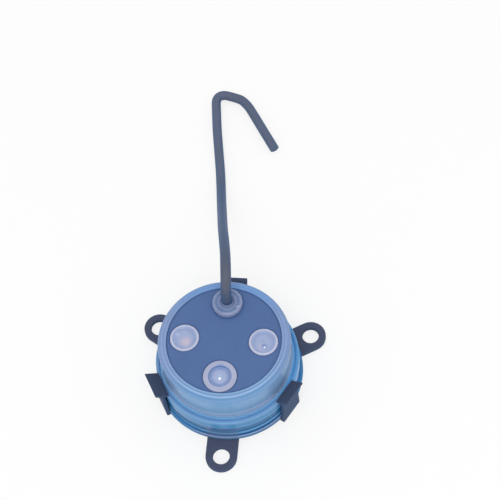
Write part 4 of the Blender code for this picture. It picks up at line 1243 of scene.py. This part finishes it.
# What is fastened and soldered inside.
# Steel screws, a nut and a ring, a clear light guide and light pipe, a green board with its
# parts, and the cord's three cores. They only show faintly, or when the piece is taken apart.
brushed, given, result = new_group(
    "brushed metal", {"Color": "Color", "Roughness": "Float"},
    {"Color": "Color", "Roughness": "Float", "Height": "Float"},
)
where = place_node(brushed, "TexCoord").outputs["Object"]
stretched = place_node(
    brushed, "Mapping", {"Vector": where, "Scale": (900.0, 900.0, 9000.0)}
).outputs[0]
strokes = place_node(
    brushed, "TexNoise", {"Vector": stretched, "Scale": 1.0, "Detail": 4.0}
).outputs[0]
tone = sum_of(brushed, 0.82, product_of(brushed, strokes, 0.36))
brushed.links.new(
    place_node(
        brushed, "VectorMath", {0: given.outputs["Color"], "Scale": tone}, operation="SCALE"
    ).outputs[0],
    result.inputs["Color"],
)
brushed.links.new(
    sum_of(brushed, given.outputs["Roughness"], product_of(brushed, strokes, 0.2)),
    result.inputs["Roughness"],
)
brushed.links.new(strokes, result.inputs["Height"])


def metal(name, colour, roughness):
    """Metal with fine strokes round it."""
    made, tree, shader = new_material(name, Metallic=1.0)
    surface = place_node(
        tree, "Group", {"Color": (*colour, 1.0), "Roughness": roughness}, node_tree=brushed
    )
    lead_surface(tree, shader, surface, relief=0.2, depth=0.01 * MM)
    return made


def plain_plastic(name, colour, roughness, grain=0.08, **sockets):
    """Moulded plastic of one colour."""
    made, tree, shader = new_material(name, **sockets)
    lay_surface(
        tree, shader, colour, roughness,
        drift=0.06, drift_scale=300.0, grain=grain, grain_scale=3600.0, relief=0.3,
    )
    return made


steel = metal("bright steel", (0.60, 0.60, 0.62), 0.22)
tin = metal("solder tin", (0.55, 0.55, 0.56), 0.35)
clear = plain_plastic(
    "clear plastic", (0.85, 0.90, 0.95), 0.06, 0.0, Transmission_Weight=0.9, IOR=1.45
)
package = plain_plastic("moulded package", (0.015, 0.015, 0.018), 0.50)
for node in (
    "left_screw", "right_screw", "board_screw_1", "board_screw_2", "board_screw_3",
    "boss_nut", "guide_retainer", "capacitor",
):
    dress_node(node, steel)
dress_node("terminal_strip", tin)
for node in ("light_pipe", "light_guide"):
    dress_node(node, clear)
for node in ("emitter", "receiver", "driver_chip"):
    dress_node(node, package)
dress_node("indicator_lamp", plain_plastic("lamp package", (0.75, 0.75, 0.70), 0.40, 0.03))
for node, colour in (
    ("core_brown", (0.16, 0.06, 0.02)),
    ("core_blue", (0.02, 0.08, 0.35)),
    ("core_black", (0.02, 0.02, 0.02)),
):
    dress_node(node, plain_plastic(node.replace("_", " "), colour, 0.42, 0.05))

laminate, tree, shader = new_material("board laminate", Specular_IOR_Level=0.5)
where = place_node(tree, "TexCoord").outputs["Object"]
tracks = place_node(
    tree, "TexBrick",
    {
        "Vector": where, "Scale": 260.0, "Mortar Size": 0.06, "Mortar Smooth": 0.2,
        "Brick Width": 0.9, "Row Height": 0.3,
        "Color1": (0.018, 0.105, 0.045, 1.0), "Color2": (0.022, 0.130, 0.055, 1.0),
        "Mortar": (0.050, 0.210, 0.080, 1.0),
    },
)
lay_surface(
    tree, shader, tracks.outputs["Color"], 0.35,
    drift=0.08, drift_scale=200.0, grain=0.03, grain_scale=3000.0, relief=0.2,
)
dress_node("circuit_board", laminate)


# The studio.
# A white sweep under plain soft light, at a level at which a colour renders about as it is
# painted. Seen straight on or through the plastic the sweep is nearly white.
FLOOR_HALF = 3.0
SWEEP_WHITE = 0.72
SKY_LIGHT = 0.78
mesh = bmesh.new()
bmesh.ops.create_grid(mesh, x_segments=1, y_segments=1, size=FLOOR_HALF)
floor = new_piece("floor", mesh)
floor_material, tree, shader = new_material("floor", Roughness=0.9)
shader.inputs["Base Color"].default_value = (0.9, 0.9, 0.9, 1.0)


def seen_directly(tree):
    """Whether a ray comes from the camera, a reflection or a clear piece."""
    rays = place_node(tree, "LightPath").outputs
    seen = sum_of(tree, rays["Is Camera Ray"], rays["Is Glossy Ray"], rays["Is Transmission Ray"])
    return reckon(tree, "MINIMUM", seen, 1.0)


white = place_node(tree, "Emission", {"Color": (1.0, 1.0, 1.0, 1.0), "Strength": 1.0})
lit = place_node(tree, "MixShader", {0: product_of(tree, seen_directly(tree), SWEEP_WHITE)})
tree.links.new(shader.outputs[0], lit.inputs[1])
tree.links.new(white.outputs[0], lit.inputs[2])
tree.links.new(lit.outputs[0], tree.nodes["Material Output"].inputs["Surface"])
floor.data.materials.append(floor_material)

world = bpy.data.worlds.new("studio")
world.use_nodes = True
tree = world.node_tree
sky = place_node(
    tree, "MapRange", {"Value": seen_directly(tree), "To Min": SKY_LIGHT, "To Max": 1.0}
)
tree.nodes["Background"].inputs["Color"].default_value = (1.0, 1.0, 1.0, 1.0)
tree.links.new(sky.outputs[0], tree.nodes["Background"].inputs["Strength"])
bpy.context.scene.world = world
lamp_data = bpy.data.lights.new("soft box", "AREA")
lamp_data.size = 0.5
lamp_data.energy = 3.0
lamp = bpy.data.objects.new("soft box", lamp_data)
lamp.location = (0.05, -0.4, 0.8)
lamp.rotation_mode = "QUATERNION"
lamp.rotation_quaternion = lamp.location.to_track_quat("Z", "Y")
bpy.context.scene.collection.objects.link(lamp)
